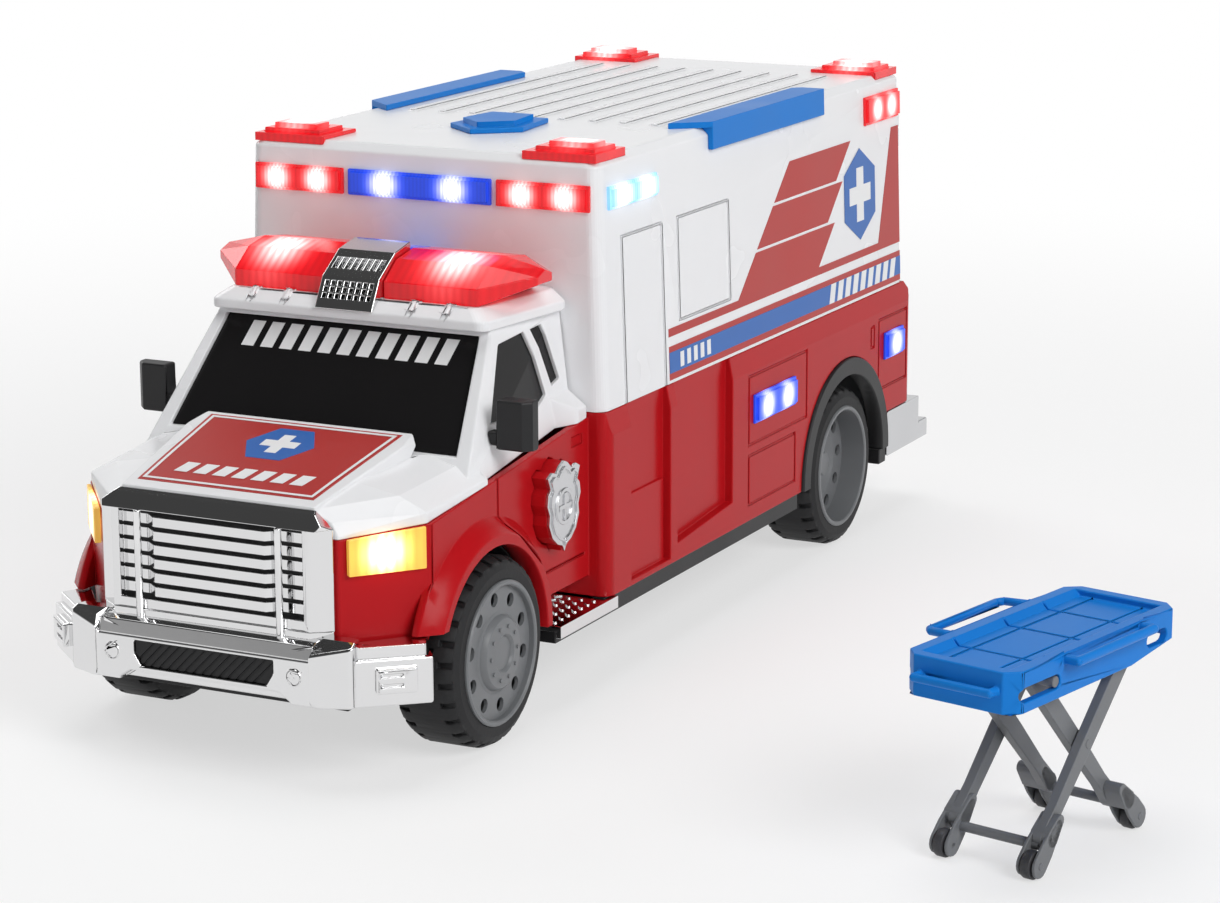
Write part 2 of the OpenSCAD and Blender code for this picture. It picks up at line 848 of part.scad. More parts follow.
module button_plate() {
  x0 = cab_hw + key_proud - key_plate_t;
  color(silver) {
    shield(x0, x0 + key_plate_t, 0);
    difference() {
      shield(x0, x0 + 1.6 * key_plate_t, -key_flange);
      shield(x0 + key_plate_t, x0 + 2 * key_plate_t, -1.5 * key_flange);
    }
    translate([0, key_y, key_z]) {
      difference() {
        rod_x(x0, x0 + 1.6 * key_plate_t, key_w * 0.26);
        rod_x(x0 + key_plate_t, x0 + 2 * key_plate_t, key_w * 0.2);
      }
      for (turn = [0, 90]) rotate([turn, 0, 0])
        box(x0, x0 + 1.5 * key_plate_t, -key_w * 0.03, key_w * 0.03, -key_w * 0.22, key_w * 0.22);
    }
  }
}

module badge_plate() {
  mirror([1, 0, 0]) button_plate();
}

// Push switch on its own board behind the button
module button_switch() {
  x1 = cab_inner_hw - seat_gap - key_flange_t - key_travel - fit;
  color(grey) {
    box(x1 - switch_t[0], x1 - switch_t[1], key_y - switch_w * 0.7, key_y + switch_w, pan_top_z,
      key_z + switch_w / 2);
    box(x1 - switch_t[1], x1 - switch_t[2], key_y - switch_w / 3, key_y + switch_w / 3,
      key_z - switch_w / 3, key_z + switch_w / 3);
    translate([0, key_y, key_z]) rod_x(x1 - switch_t[2], x1, switch_w / 5);
  }
}

// White upper cab
module greenhouse(inset) {
  top = screen_top_z - inset;
  hull() {
    prism_z(both_sides([[gh_low_front_hw - inset, screen_low_y + inset * 1.3],
      [gh_low_rear_hw - inset, module_front_y - fit]]), screen_low_z, screen_low_z + seat_gap);
    prism_z(both_sides([[gh_top_front_hw - inset, screen_top_y + inset * 1.3],
      [gh_top_rear_hw - inset, module_front_y - fit]]), top - seat_gap, top);
  }
}

// Bonnet section at one station: half widths and heights of its three corners
module bonnet_slab(y, low_hw, mid_hw, top_hw, low_z, mid_z, top_z) {
  prism_y(both_sides([[low_hw, low_z], [low_hw, mid_z - (mid_hw < low_hw ? shoulder_drop : 0)],
    [mid_hw, mid_z], [top_hw, top_z]]), y, y + seat_gap);
}

module bonnet_lamp_slab(inset, low_z) {
  bonnet_slab(lamp_y, lamp_x - inset, shoulder_hw - bonnet_edge - inset, bonnet_front_hw + overrun - inset,
    low_z, bonnet_lamp_z - bonnet_edge_drop - inset, bonnet_lamp_z - inset);
}

module bonnet(inset) {
  low_z = cab_belt_front_z - bonnet_skirt;
  hull() {
    bonnet_slab(nose_y + inset, nose_hw - inset, nose_hw - bonnet_edge - inset, bonnet_front_hw - inset,
      low_z, bonnet_front_z - bonnet_edge_drop - inset, bonnet_front_z - inset);
    bonnet_lamp_slab(inset, low_z);
  }
  hull() {
    bonnet_lamp_slab(inset, low_z);
    bonnet_slab(bonnet_rear_y, cab_hw - inset, shoulder_hw - inset, bonnet_deck_hw - inset, low_z,
      belt_z - bonnet_edge - inset, belt_z - bonnet_deck_drop - inset);
  }
}

// Raised middle panel of the bonnet
module bonnet_panel() {
  high_z = bonnet_rear_z + bonnet_lift;
  intersection() {
    prism_z(both_sides([[panel_hw[0], nose_y], [panel_hw[1], bonnet_rear_y]]), 0, roof_z);
    prism_y(both_sides([[panel_foot_hw, 0], [panel_foot_hw, high_z - panel_h], [panel_top_hw, high_z]]),
      nose_y, bonnet_rear_y);
    prism_x([[nose_y, bonnet_front_z - bonnet_edge], [nose_y, bonnet_front_z + bonnet_lift],
      [lamp_y, bonnet_lamp_z + bonnet_lift], [bonnet_rear_y, high_z],
      [bonnet_rear_y, belt_z - bonnet_edge]], -cab_hw, cab_hw);
  }
}

// Slab that follows the slope of the windscreen
module screen_slab(depth) {
  prism_x([[screen_low_y - depth, screen_low_z], [screen_low_y + depth, screen_low_z],
    [screen_top_y + depth, screen_top_z], [screen_top_y - depth, screen_top_z]], -cab_hw, cab_hw);
}

function screen_outline(inset) = both_sides([[screen_foot_hw - inset, belt_z - screen_foot_drop + inset],
  [screen_head_hw - inset, belt_z + screen_head_rise - inset]]);

module screen_opening(inset) {
  intersection() {
    prism_y(screen_outline(inset), front_y, module_front_y);
    screen_slab(screen_depth);
  }
}

// Corners of a window in Y and Z, each moved in by the inset
function window_outline(at, way, inset) = [for (i = [0 : len(at) - 1])
  [module_front_y + at[i][0] + way[i][0] * inset, belt_z + at[i][1] + way[i][1] * inset]];

module side_openings(inset) {
  pair() {
    prism_x(window_outline(front_window_at, front_window_way, inset), window_in_x, skirt_hw);
    prism_x(window_outline(rear_window_at, rear_window_way, inset), window_in_x, skirt_hw);
  }
}

// Flared foot of the rear pillar, beside the white box
module cab_gusset() {
  y1 = module_front_y - fit;
  intersection() {
    prism_z([[gusset_in_x, y1 - gusset_l], [cab_hw, y1 - gusset_l / 3], [cab_hw, y1], [gusset_in_x, y1]],
      screen_low_z, roof_z);
    prism_y([[0, 0], [cab_hw, 0], [cab_hw, belt_z + gusset_h - gusset_drop],
      [gusset_in_x, belt_z + gusset_h], [0, belt_z + gusset_h]], front_y, y1);
  }
}

// Plate over the windscreen with sloped edges and small studs
module lip_plate(in, z, t) {
  for (x = [-1, 1]) {
    translate([x * (lip_front_hw - lip_corner_r - in), lip_front_y + lip_corner_r + in, z])
      cylinder(h = t, r = lip_corner_r, $fn = 24);
    translate([x * (lip_rear_hw - lip_corner_r - in), module_front_y - fit - lip_corner_r, z])
      cylinder(h = t, r = lip_corner_r, $fn = 24);
  }
}

module roof_lip() {
  hull() {
    lip_plate(0, lip_z, lip_t);
    lip_plate(lip_slope, lip_z + lip_h - seat_gap, seat_gap);
  }
  for (x = bump_xs)
    pair() translate([x, lip_front_y + lip_slope / 2, lip_z + lip_t]) rotate([bump_tilt, 0, 0])
      rod_y(0, bump_l, bump_r);
}

module cab_upper() {
  color(white) difference() {
    union() {
      greenhouse(0);
      bonnet(0);
      bonnet_panel();
      roof_lip();
      pair() cab_gusset();
    }
    greenhouse(wall);
    bonnet(wall);
    screen_opening(0);
    side_openings(0);
    below_belt(overrun);
  }
}

// Black insert behind the cab's openings, with panes that fill them
module cab_glazing() {
  color(black) difference() {
    union() {
      greenhouse(wall + seat_gap);
      intersection() {
        greenhouse(pane_inset);
        union() {
          screen_opening(seat_gap);
          side_openings(seat_gap);
        }
      }
    }
    greenhouse(2 * wall);
    below_belt(overrun);
    prism_z(both_sides([[cab_hw, screen_low_y - overrun], [cab_hw, bonnet_rear_y]]), 0,
      belt_z - glazing_drop);
  }
}

// Chrome grille
module grille() {
  y0 = grille_front_y;
  y1 = nose_y - seat_gap;
  inner_hw = grille_hw - grille_side / 3;
  grille_out = grille_hw + grille_side;
  color(chrome) {
    intersection() {
      prism_x([[y0 - grille_cap_proud, grille_top_z], [y1, grille_top_z], [y1, grille_cap_z],
        [y0 + grille_cap_slope, grille_cap_z - grille_cap_edge]], -grille_out, grille_out);
      prism_z(both_sides([[grille_hw, front_y], [grille_out, y1 - grille_side / 5], [grille_out, y1]]),
        grille_top_z, grille_cap_z);
      prism_y(both_sides([[grille_out, grille_top_z], [grille_hw, grille_cap_z]]), front_y, y1);
    }
    pair() prism_z([[inner_hw, y0], [grille_hw, y0 - pillar_proud], [grille_out, y1 - grille_side / 5],
      [grille_out, y1], [inner_hw, y1]], grille_low_z, grille_top_z);
    box(-inner_hw, inner_hw, y0, y1, grille_low_z, grille_low_z + bar_h);
    for (i = [1 : bar_count]) grille_bar(i);
    pair() translate([rod_at_x, y0 - rod_r, grille_low_z - rod_drop])
      cylinder(h = grille_top_z - grille_low_z + rod_drop, r = rod_r);
  }
}

// One stepped bar: its middle stands forward of its ends
module grille_bar(i) {
  inner_hw = grille_hw - grille_side / 3;
  pitch = (grille_top_z - grille_low_z - bar_h) / (bar_count + 0.4);
  z0 = grille_low_z + i * pitch;
  y0 = grille_front_y;
  back = nose_y - seat_gap - backing_t;
  prism_z(both_sides([[bar_mid_hw, y0 - bar_proud], [bar_step_hw, y0 + bar_step - bar_proud],
    [inner_hw, y0 + bar_step - bar_proud], [inner_hw, back]]), z0, z0 + bar_h);
}

module grille_backing() {
  inner_hw = grille_hw - grille_side / 3;
  y1 = nose_y - seat_gap;
  color(black) box(-inner_hw, inner_hw, y1 - backing_t, y1, grille_low_z + bar_h, grille_top_z);
}

// Chrome front bumper
function bumper_plan(inset) = both_sides([
  [bumper_mid_hw, front_y + inset], [bumper_block_hw, bumper_block_y + inset],
  [wing_x - inset, bumper_wing_y], [wing_x - inset - bumper_t / 2, bumper_wing_y + bumper_t],
  [wing_x - bumper_t, bumper_wing_y + bumper_t], [nose_hw + nose_lap, nose_y + seat_gap],
  [nose_hw - nose_lap, nose_y - seat_gap]]);

module front_bumper() {
  mid_z = (mesh_low_z + mesh_top_z) / 2;
  color(chrome) {
    difference() {
      union() {
        prism_z(bumper_plan(0), bumper_low_z, bumper_top_z - bumper_bevel);
        prism_z(bumper_plan(bumper_bevel * 0.6), bumper_top_z - bumper_bevel, bumper_top_z);
        pair() bumper_block();
      }
      prism_y(both_sides([[mesh_low_hw, mesh_low_z], [mesh_hw, mid_z], [mesh_hw, mesh_top_z]]),
        front_y - overrun, front_y + mesh_depth);
      prism_y(both_sides([[bumper_mid_hw - under_cut[0], bumper_low_z - overrun],
        [bumper_mid_hw - under_cut[0], bumper_low_z + under_cut_h[0]],
        [bumper_mid_hw - under_cut[1], bumper_low_z + under_cut_h[1]]]), front_y - overrun, bumper_block_y);
      at_wheel(front_axle_y) rod_x(-skirt_hw, skirt_hw, arch_r);
    }
    pair() bumper_lamp();
    pair() translate([round_lamp_x, front_y, mid_z]) rod_y(-round_lamp_t, round_lamp_t, round_lamp_r);
  }
}

// Raised block at each end of the bumper's middle
module bumper_block() {
  z1 = bumper_top_z + block_rise;
  y1 = nose_y - seat_gap;
  intersection() {
    prism_z([[bumper_mid_hw, front_y], [bumper_mid_hw, front_y - block_proud],
      [bumper_block_hw, bumper_block_y - block_proud], [bumper_block_hw + block_proud, bumper_block_y],
      [bumper_block_hw, y1], [bumper_mid_hw, y1]], bumper_low_z, z1);
    prism_x([[front_y - block_proud, bumper_low_z + block_bevel], [front_y, bumper_low_z],
      [y1, bumper_low_z],
      [y1, z1], [bumper_block_y + block_bevel, z1], [front_y - block_proud, z1 - bumper_bevel]], 0,
        skirt_hw);
  }
}

// Raised slotted lamp on each bumper wing
module bumper_lamp() {
  run = [wing_x - bumper_block_hw, bumper_wing_y - bumper_block_y];
  angle = atan2(run[1], run[0]);
  long = norm(run);
  h = wing_lamp_h;
  translate([bumper_block_hw, bumper_block_y, bumper_low_z + wing_lamp_rise]) rotate([0, 0, angle])
    difference() {
    translate([long * 0.3, -wing_lamp_t, 0]) cube([long * 0.5, wing_lamp_t + fit, h]);
    for (z = [h * 0.25, h * 0.65])
      translate([long * 0.35, -wing_lamp_t - overrun, z])
        cube([long * 0.28, overrun + wing_slot, h * 0.14]);
  }
}

module bumper_mesh() {
  color(black) difference() {
    prism_y(both_sides([[mesh_low_hw - seat_gap, mesh_low_z + seat_gap],
      [mesh_hw - seat_gap, (mesh_low_z + mesh_top_z) / 2], [mesh_hw - seat_gap, mesh_top_z - seat_gap]]),
      front_y + mesh_depth / 2, front_y + mesh_depth);
    for (i = [-7 : 7])
      translate([i * mesh_pitch, front_y, (mesh_low_z + mesh_top_z) / 2]) rotate([0, 45, 0])
        cube([groove_w, mesh_depth * 1.5, 3 * mesh_top_z - 3 * mesh_low_z], center = true);
  }
}

// Headlamps on the slanted corner faces
module headlamp() {
  run = [lamp_x - nose_hw, lamp_y - nose_y];
  along = run / norm(run);
  out = [along[1], -along[0]];
  a = [nose_hw, nose_y] + along * lamp_ends[0];
  b = [lamp_x, lamp_y] - along * lamp_ends[1];
  inner = lamp_high_z - lamp_slope[0];
  intersection() {
    prism_z([a + out * seat_gap, a + out * lamp_t, b + out * lamp_t * 0.7, b + out * seat_gap],
      lamp_low_z, lamp_high_z);
    prism_y([[0, lamp_low_z], [lamp_x * 2, lamp_low_z], [lamp_x * 2, lamp_high_z + lamp_slope[1]],
      [lamp_x, lamp_high_z], [nose_hw, inner], [0, inner]], front_y, module_front_y);
  }
}

module headlamp_left() { color(amber) headlamp(); }
module headlamp_right() { color(amber) mirror([1, 0, 0]) headlamp(); }

// Door mirrors
module door_mirror() {
  y0 = mirror_y - mirror_t / 2;
  y1 = mirror_y + mirror_t / 2;
  prism_z([[mirror_in_x, y0], [mirror_out_x - mirror_bevel, y0], [mirror_out_x, y0 + mirror_bevel],
    [mirror_out_x, y1], [mirror_in_x, y1]], mirror_low_z, mirror_high_z);
  box(arm_in_x, mirror_in_x + overrun, y0 + mirror_face, y1 - mirror_face, mirror_low_z + mirror_face,
    mirror_low_z + mirror_face + arm_h);
}

module mirror_left() { color(black) difference() { door_mirror(); greenhouse(-seat_gap); } }
module mirror_right() { color(black) mirror([1, 0, 0])
  difference() { door_mirror(); greenhouse(-seat_gap); } }

// Light bar
function bar_section(grow) = let (z = bar_base_z, y0 = bar_front_y, y1 = bar_rear_y, h = bar_high + grow)
  [[y0, z], [y0 - grow, z + h * 0.4], [y0 + bar_depth * 0.23, z + h * 0.86], [(y0 + y1) / 2, z + h],
  [y1 - bar_depth * 0.13, z + h * 0.86], [y1, z + h * 0.4], [y1, z]];

module bar_lens() {
  mid_y = (bar_front_y + bar_rear_y) / 2;
  hull() {
    prism_x(bar_section(0), bar_in_x, bar_full_x);
    prism_x([[mid_y - bar_tip_hw, bar_tip_z - bar_tip_steps[0]],
      [mid_y - bar_tip_hw, bar_tip_z + bar_tip_steps[1]],
      [mid_y, bar_tip_z + bar_tip_steps[2]], [mid_y + bar_tip_hw, bar_tip_z + bar_tip_steps[1]],
      [mid_y + bar_tip_hw, bar_tip_z - bar_tip_steps[0]]], bar_tip_x - seat_gap, bar_tip_x);
  }
}

module bar_lenses() { color(lens_red) pair() bar_lens(); }

module bar_louvre() {
  x1 = bar_in_x - seat_gap;
  foot_z = lip_z + lip_t + seat_gap;
  mid_y = (bar_front_y + bar_rear_y) / 2;
  color(chrome) difference() {
    union() {
      intersection() {
        prism_x(bar_section(louvre_proud), -x1, x1);
        box(-x1, x1, bar_front_y - 2 * louvre_proud, mid_y - seat_gap, bar_base_z, roof_z);
      }
      // foot over the plate
      prism_x([[lip_front_y - louvre_foot, foot_z], [lip_front_y, foot_z],
        [lip_front_y + lip_slope, bar_base_z + seat_gap],
        [bar_front_y + louvre_proud, bar_base_z + seat_gap],
        [bar_front_y + louvre_proud, bar_base_z + bar_high * 0.4],
        [bar_front_y - louvre_proud, bar_base_z + (bar_high + louvre_proud) * 0.4]], -x1, x1);
    }
    for (i = [0 : slot_count - 1], j = [0 : slot_rows - 1])
      translate([-x1 + (i + 1) * 2 * x1 / (slot_count + 1), bar_front_y - bar_set / 2,
        bar_base_z + slot_rise + j * slot_pitch])
        cube([slot_w, bar_set + 2 * slot_depth, slot_w], center = true);
    for (i = [0 : slot_count - 1])
      translate([-x1 + (i + 1) * 2 * x1 / (slot_count + 1), bar_front_y + slot_set,
        bar_base_z + bar_high * 0.7]) rotate([-36, 0, 0])
          cube([slot_w, 4 * slot_depth, slot_l], center = true);
  }
}

module bar_centre_lens() {
  x1 = bar_in_x - seat_gap;
  mid_y = (bar_front_y + bar_rear_y) / 2;
  color(lens_blue) intersection() {
    prism_x(bar_section(0), -x1, x1);
    box(-x1, x1, mid_y, bar_rear_y, bar_base_z, roof_z);
  }
}

// White patient box
module module_block(inset, drop) {
  y0 = module_front_y + inset;
  y1 = module_rear_y - inset;
  top = roof_z - drop;
  hull() {
    translate([0, 0, belt_z]) linear_extrude(seat_gap)
      rounded_plan(module_hw - inset, y0, y1, corner_r - inset / 2);
    translate([0, 0, top - roof_bevel]) linear_extrude(seat_gap)
      rounded_plan(module_hw - inset - module_draft, y0 + module_draft / 2, y1, corner_r - inset / 2);
    translate([0, 0, top - seat_gap]) linear_extrude(seat_gap)
      rounded_plan(module_hw - inset - module_draft - roof_bevel, y0 + module_draft / 2 + roof_bevel,
        y1 - roof_bevel, corner_r - inset / 2);
  }
}

module module_shell() {
  color(white) difference() {
    union() {
      module_block(0, 0);
      roof_field();
      pair() hinge_lug(hinge_high_z + knuckle_h + fit, module_rear_y - overrun);
    }
    module_block(wall, wall);
    box(-door_open_hw, door_open_hw, module_rear_y - 3 * wall, module_rear_y + overrun,
      belt_z - overrun, door_top_z);
    pair() side_door_lines();
  }
}

// Raised field and ribs on the roof
module roof_field() {
  y0 = roof_trim_y + module_l * 0.02;
  y1 = module_rear_y - module_l * 0.127;
  pitch = roof_field_hw / 4;
  for (x = [-roof_field_hw : pitch : roof_field_hw])
    box(x - roof_rib_w / 2, x + roof_rib_w / 2, y0, y1, roof_z - overrun, roof_z + roof_field_t);
}

// Seams of the side doors, sunk into the leaning side wall
module side_door_lines() {
  lean = atan(module_draft / (module_h - roof_bevel));
  z1 = module_h - door_seam_drop;
  for (s = door_seam_shares) {
    y0 = module_front_y + run_l * s[0];
    y1 = module_front_y + run_l * s[1];
    z0 = s[2] == 0 ? -overrun : module_h * s[2];
    translate([module_hw, 0, belt_z]) rotate([0, -lean, 0]) difference() {
      box(-seam_depth, overrun, y0, y1, z0, z1);
      box(-2 * seam_depth, 2 * overrun, y0 + seam_w, y1 - seam_w, s[2] == 0 ? 2 * z0 : z0 + seam_w,
        z1 - seam_w);
    }
  }
}

// Bevelled lamp lens with its back on the plane z = 0
module lens(w, h) {
  linear_extrude(lens_t - lens_bevel) square([w, h]);
  translate([lens_bevel, lens_bevel, 0]) linear_extrude(lens_t)
    square([w - 2 * lens_bevel, h - 2 * lens_bevel]);
}

// How far the front and side walls lean in at a height
function lean_at(z) = module_draft * (z - belt_z - seat_gap) / (module_h - roof_bevel);

module front_lens(x0, x1) {
  lean = atan(module_draft / 2 / (module_h - roof_bevel));
  translate([x0, module_front_y + lean_at(front_lens_low_z) / 2, front_lens_low_z])
    rotate([90 - lean, 0, 0]) lens(x1 - x0, front_lens_high_z - front_lens_low_z);
}

module front_lens_blue() { color(lens_blue) front_lens(-blue_lens_hw, blue_lens_hw); }
module front_lenses_red() { color(lens_red) pair() front_lens(red_lens_in, red_lens_out); }

// Lens on the leaning side of the white box
module side_lens(y, l, z, h) {
  lean = atan(module_draft / (module_h - roof_bevel));
  translate([module_hw - lean_at(z), y, z]) rotate([0, -lean, 0]) rotate([90, 0, 90]) lens(l, h);
}

module side_lenses() {
  color(lens_blue) pair() side_lens(side_lens_y, side_lens_l, front_lens_low_z, side_lens_h);
}

module rear_side_lenses() {
  color(lens_red) pair()
    side_lens(module_rear_y - corner_r - rear_lens_l, rear_lens_l, front_lens_low_z, rear_lens_h);
}

module skirt_lenses() {
  color(lens_blue) pair() {
    translate([skirt_hw, skirt_lens_y, skirt_lens_z]) rotate([90, 0, 90]) lens(skirt_lens_l, skirt_lens_h);
    translate([skirt_hw, tail_lens_y, skirt_lens_z]) rotate([90, 0, 90]) lens(tail_lens_l, skirt_lens_h);
  }
}

// Stepped lamps on the roof corners
module corner_lamp(y) {
  x1 = module_hw - module_draft - lens_bevel;
  x0 = x1 - corner_lamp_w;
  step = corner_lamp_h * 0.8;
  difference() {
    for (i = [0 : 2])
      box(x0 + i * step, x1 - i * step * 0.6, y + i * step, y + corner_lamp_l - i * step,
        roof_z - roof_bevel / 2, roof_z + corner_lamp_h * (i + 1) / 3);
    module_block(0, 0);
  }
}

module roof_corner_lenses() {
  color(lens_red) pair() {
    corner_lamp(module_front_y + module_draft / 2 + lens_bevel);
    corner_lamp(module_rear_y - lens_bevel - corner_lamp_l);
  }
}

// Blue trims that fold over the roof edges
module roof_trim() {
  x1 = module_hw - module_draft;
  lean = atan(module_draft / (module_h - roof_bevel));
  y0 = roof_trim_y;
  y1 = roof_trim_y + roof_trim_l;
  difference() {
    intersection() {
      union() {
        prism_z([[x1 - roof_trim_w, y0], [x1 + roof_trim_t, y0 + roof_trim_w], [x1 + roof_trim_t, y1],
          [x1 - roof_trim_w + roof_trim_cut, y1], [x1 - roof_trim_w, y1 - roof_trim_cut]], roof_z,
            roof_z + roof_trim_t);
        box(x1 - roof_trim_w / 2, x1 + roof_trim_t + module_draft, y0 + roof_trim_w, y1,
          roof_z - roof_trim_drop, roof_z + roof_trim_t);
      }
      translate([module_hw + roof_trim_t, 0, belt_z]) rotate([0, -lean, 0])
        box(-module_hw, 0, y0 - overrun, y1 + overrun, 0, 2 * module_h);
    }
    module_block(0, 0);
  }
}

module roof_trim_left() { color(trim_blue) roof_trim(); }
module roof_trim_right() { color(trim_blue) mirror([1, 0, 0]) roof_trim(); }

// Blue stepped piece behind the front edge of the roof
module roof_piece() {
  color(trim_blue) for (i = [0 : 1]) {
    s = 1 - i * 0.28;
    hw = roof_piece_hw * s;
    hl = roof_piece_l / 2 * s;
    translate([0, roof_piece_y + roof_piece_l / 2, 0])
      prism_z(both_sides([[0, -hl], [hw, -hl * 0.36], [hw * 0.8, hl]]), roof_z,
        roof_z + roof_piece_h * (i + 1) / 2);
  }
}

// Chrome side steps with treads and a raised back
module side_step() {
  y0 = step_front_y;
  y1 = module_front_y - fit;
  z0 = pan_top_z;
  difference() {
    union() {
      box(step_in_x, step_out_x, y0, y1, z0, z0 + step_t);
      box(step_out_x - step_t, step_out_x, y0, y1, z0 - step_lip_h + step_t, z0 + step_t);
      box(sill_hw + seat_gap, step_out_x, y1 - overrun, y1 + step_tail, z0 - step_lip_h + step_t,
        z0 + step_t);
      box(step_in_x, step_in_x + step_t, y0, y1, z0, cab_foot_z - fit);
      for (x = [step_in_x + tread_margin : tread_pitch : step_out_x - tread_margin / 2],
        y = [y0 + tread_margin : tread_pitch : y1 - tread_margin / 2])
        translate([x, y, z0 + step_t]) rotate([0, 0, 45])
          cube([tread_r, 3 * tread_r, tread_r], center = true);
    }
    box(0, sill_hw + seat_gap, y0 - overrun, y1 + overrun, 0, z0);
  }
}

module step_left() { color(chrome) side_step(); }
module step_right() { color(chrome) mirror([1, 0, 0]) side_step(); }

// Black rear arch trims with a mud flap foot
module arch_trim() {
  x1 = skirt_hw + trim_proud;
  intersection() {
    at_wheel(rear_axle_y) difference() {
      rod_x(skirt_inner_hw, x1, trim_r);
      rod_x(skirt_inner_hw - overrun, x1 + overrun, trim_in_r);
    }
    box(0, 2 * skirt_hw, 0, rear_y, sill_top_z, belt_z);
  }
  box(skirt_inner_hw, skirt_hw - fit, rear_axle_y + trim_in_r, rb_front_y - fit, ground_gap, sill_top_z);
}

module arch_trim_left() { color(black) arch_trim(); }
module arch_trim_right() { color(black) mirror([1, 0, 0]) arch_trim(); }

// Silver rear bumper with a step
module rear_bumper() {
  color(silver) difference() {
    prism_x([[rb_front_y, rb_low_z], [rear_y, rb_low_z], [rear_y, rb_step_z], [rb_beam_y, rb_step_z],
      [rb_beam_y, rb_top_z - fit], [rb_front_y, rb_top_z - fit]], -skirt_hw, skirt_hw);
    box(-skirt_hw + rb_wall, skirt_hw - rb_wall, rb_front_y - overrun, skirt_rear_y - fit,
      rb_low_z - overrun, rb_top_z + overrun);
    pair() box(skirt_hw - 2 * rb_wall, skirt_hw - 1.6 * rb_wall, skirt_rear_y, rear_y + overrun,
      rb_step_z - groove_depth, rb_step_z + overrun);
  }
}

// Floor of the patient box with humps over the rear wheels
module module_floor() {
  y0 = module_front_y + skirt_wall + fit;
  y1 = leaf_out_y - leaf_t - fit;
  hw = skirt_inner_hw - fit;
  hump_r = trim_in_r + hump_gap;
  hump_x = wheel_in_x - tub_t;
  hump_low_z = axle_z + bearing_h + fit;
  hump_top_z = axle_z + hump_r;
  y_a = rear_axle_y - hump_r;
  y_b = rear_axle_y + hump_r;
  color(grey) difference() {
    union() {
      box(-hw, hw, y0, y1, floor_z, floor_top_z);
      pair() box(hump_x - hump_wall, hw, y_a - hump_wall, y_b + hump_wall, hump_low_z,
        hump_top_z + hump_wall);
    }
    pair() box(hump_x, hw + overrun, y_a, y_b, hump_low_z - overrun, hump_top_z);
  }
}

// Rear doors
module rear_door() {
  y1 = leaf_out_y;
  y0 = y1 - leaf_t;
  x_mid = (door_gap + leaf_out_x) / 2;
  difference() {
    union() {
      box(door_gap, leaf_out_x, y0, y1, leaf_low_z, leaf_high_z);
      for (z = [hinge_low_z + hinge_lug_h + fit, hinge_high_z]) door_strap(z);
    }
    box(x_mid - window_w / 2, x_mid + window_w / 2, y0 - overrun, y1 + overrun, window_z,
      window_z + window_h);
    for (z = [hinge_low_z + hinge_lug_h + fit, hinge_high_z])
      translate([hinge_x, hinge_y, z - overrun]) cylinder(h = knuckle_h + 2 * overrun, r = pin_r + running);
    difference() {
      box(x_mid - window_w / 2, x_mid + window_w / 2, y1 - groove_depth, y1 + overrun,
        leaf_low_z + door_panel_margin, belt_z - door_panel_margin);
      box(x_mid - window_w / 2 + groove_w, x_mid + window_w / 2 - groove_w, y1 - 2 * groove_depth,
        y1 + 2 * overrun, leaf_low_z + door_panel_margin + groove_w, belt_z - door_panel_margin - groove_w);
    }
  }
}

// Strap from the leaf's face out to the knuckle round the pin
module door_strap(z) {
  translate([hinge_x, hinge_y, z]) cylinder(h = knuckle_h, r = knuckle_r);
  prism_z([[hinge_x, hinge_y + knuckle_r], [hinge_x - strap_reach, leaf_out_y + strap_t],
    [hinge_x - strap_reach, leaf_out_y], [leaf_out_x - seat_gap, leaf_out_y],
    [leaf_out_x - seat_gap, hinge_y - knuckle_r], [hinge_x, hinge_y - knuckle_r]], z, z + knuckle_h);
}

module rear_door_left() { color(white) rear_door(); }
module rear_door_right() { color(white) mirror([1, 0, 0]) rear_door(); }

module door_window() {
  x_mid = (door_gap + leaf_out_x) / 2;
  y1 = leaf_out_y - pane_inset;
  box(x_mid - window_w / 2, x_mid + window_w / 2, y1 - leaf_t / 2, y1, window_z, window_z + window_h);
}

module door_window_left() { color(black) door_window(); }
module door_window_right() { color(black) mirror([1, 0, 0]) door_window(); }

// Bar handle on two feet
module door_handle() {
  x0 = door_gap + handle_set;
  x1 = x0 + handle_w;
  y1 = leaf_out_y + handle_reach;
  box(x0, x1, y1 - handle_t, y1, handle_z - handle_l, handle_z);
  for (z = [handle_z - handle_l, handle_z - handle_w])
    box(x0, x1, leaf_out_y, y1 - handle_t, z, z + handle_w);
}

module door_handle_left() { color(black) door_handle(); }
module door_handle_right() { color(black) mirror([1, 0, 0]) door_handle(); }

module hinge_pins() {
  color(silver) pair() {
    translate([hinge_x, hinge_y, hinge_low_z]) cylinder(h = hinge_lug_h + fit + knuckle_h, r = pin_r);
    translate([hinge_x, hinge_y, hinge_high_z]) cylinder(h = knuckle_h + fit + hinge_lug_h, r = pin_r);
  }
}

module tail_lamps() {
  w = skirt_hw - door_open_hw - 2 * wall;
  color(lens_red) pair() translate([skirt_hw - wall, skirt_rear_y, belt_z - tail_bevel - tail_lamp_h - fit])
    rotate([90, 0, 180]) lens(w, tail_lamp_h);
}

// Axles and wheels
module axle(y) {
  color(silver) at_wheel(y) rod_x(-axle_out_x, axle_out_x, axle_r);
}

module axle_front() { axle(front_axle_y); }
module axle_rear() { axle(rear_axle_y); }

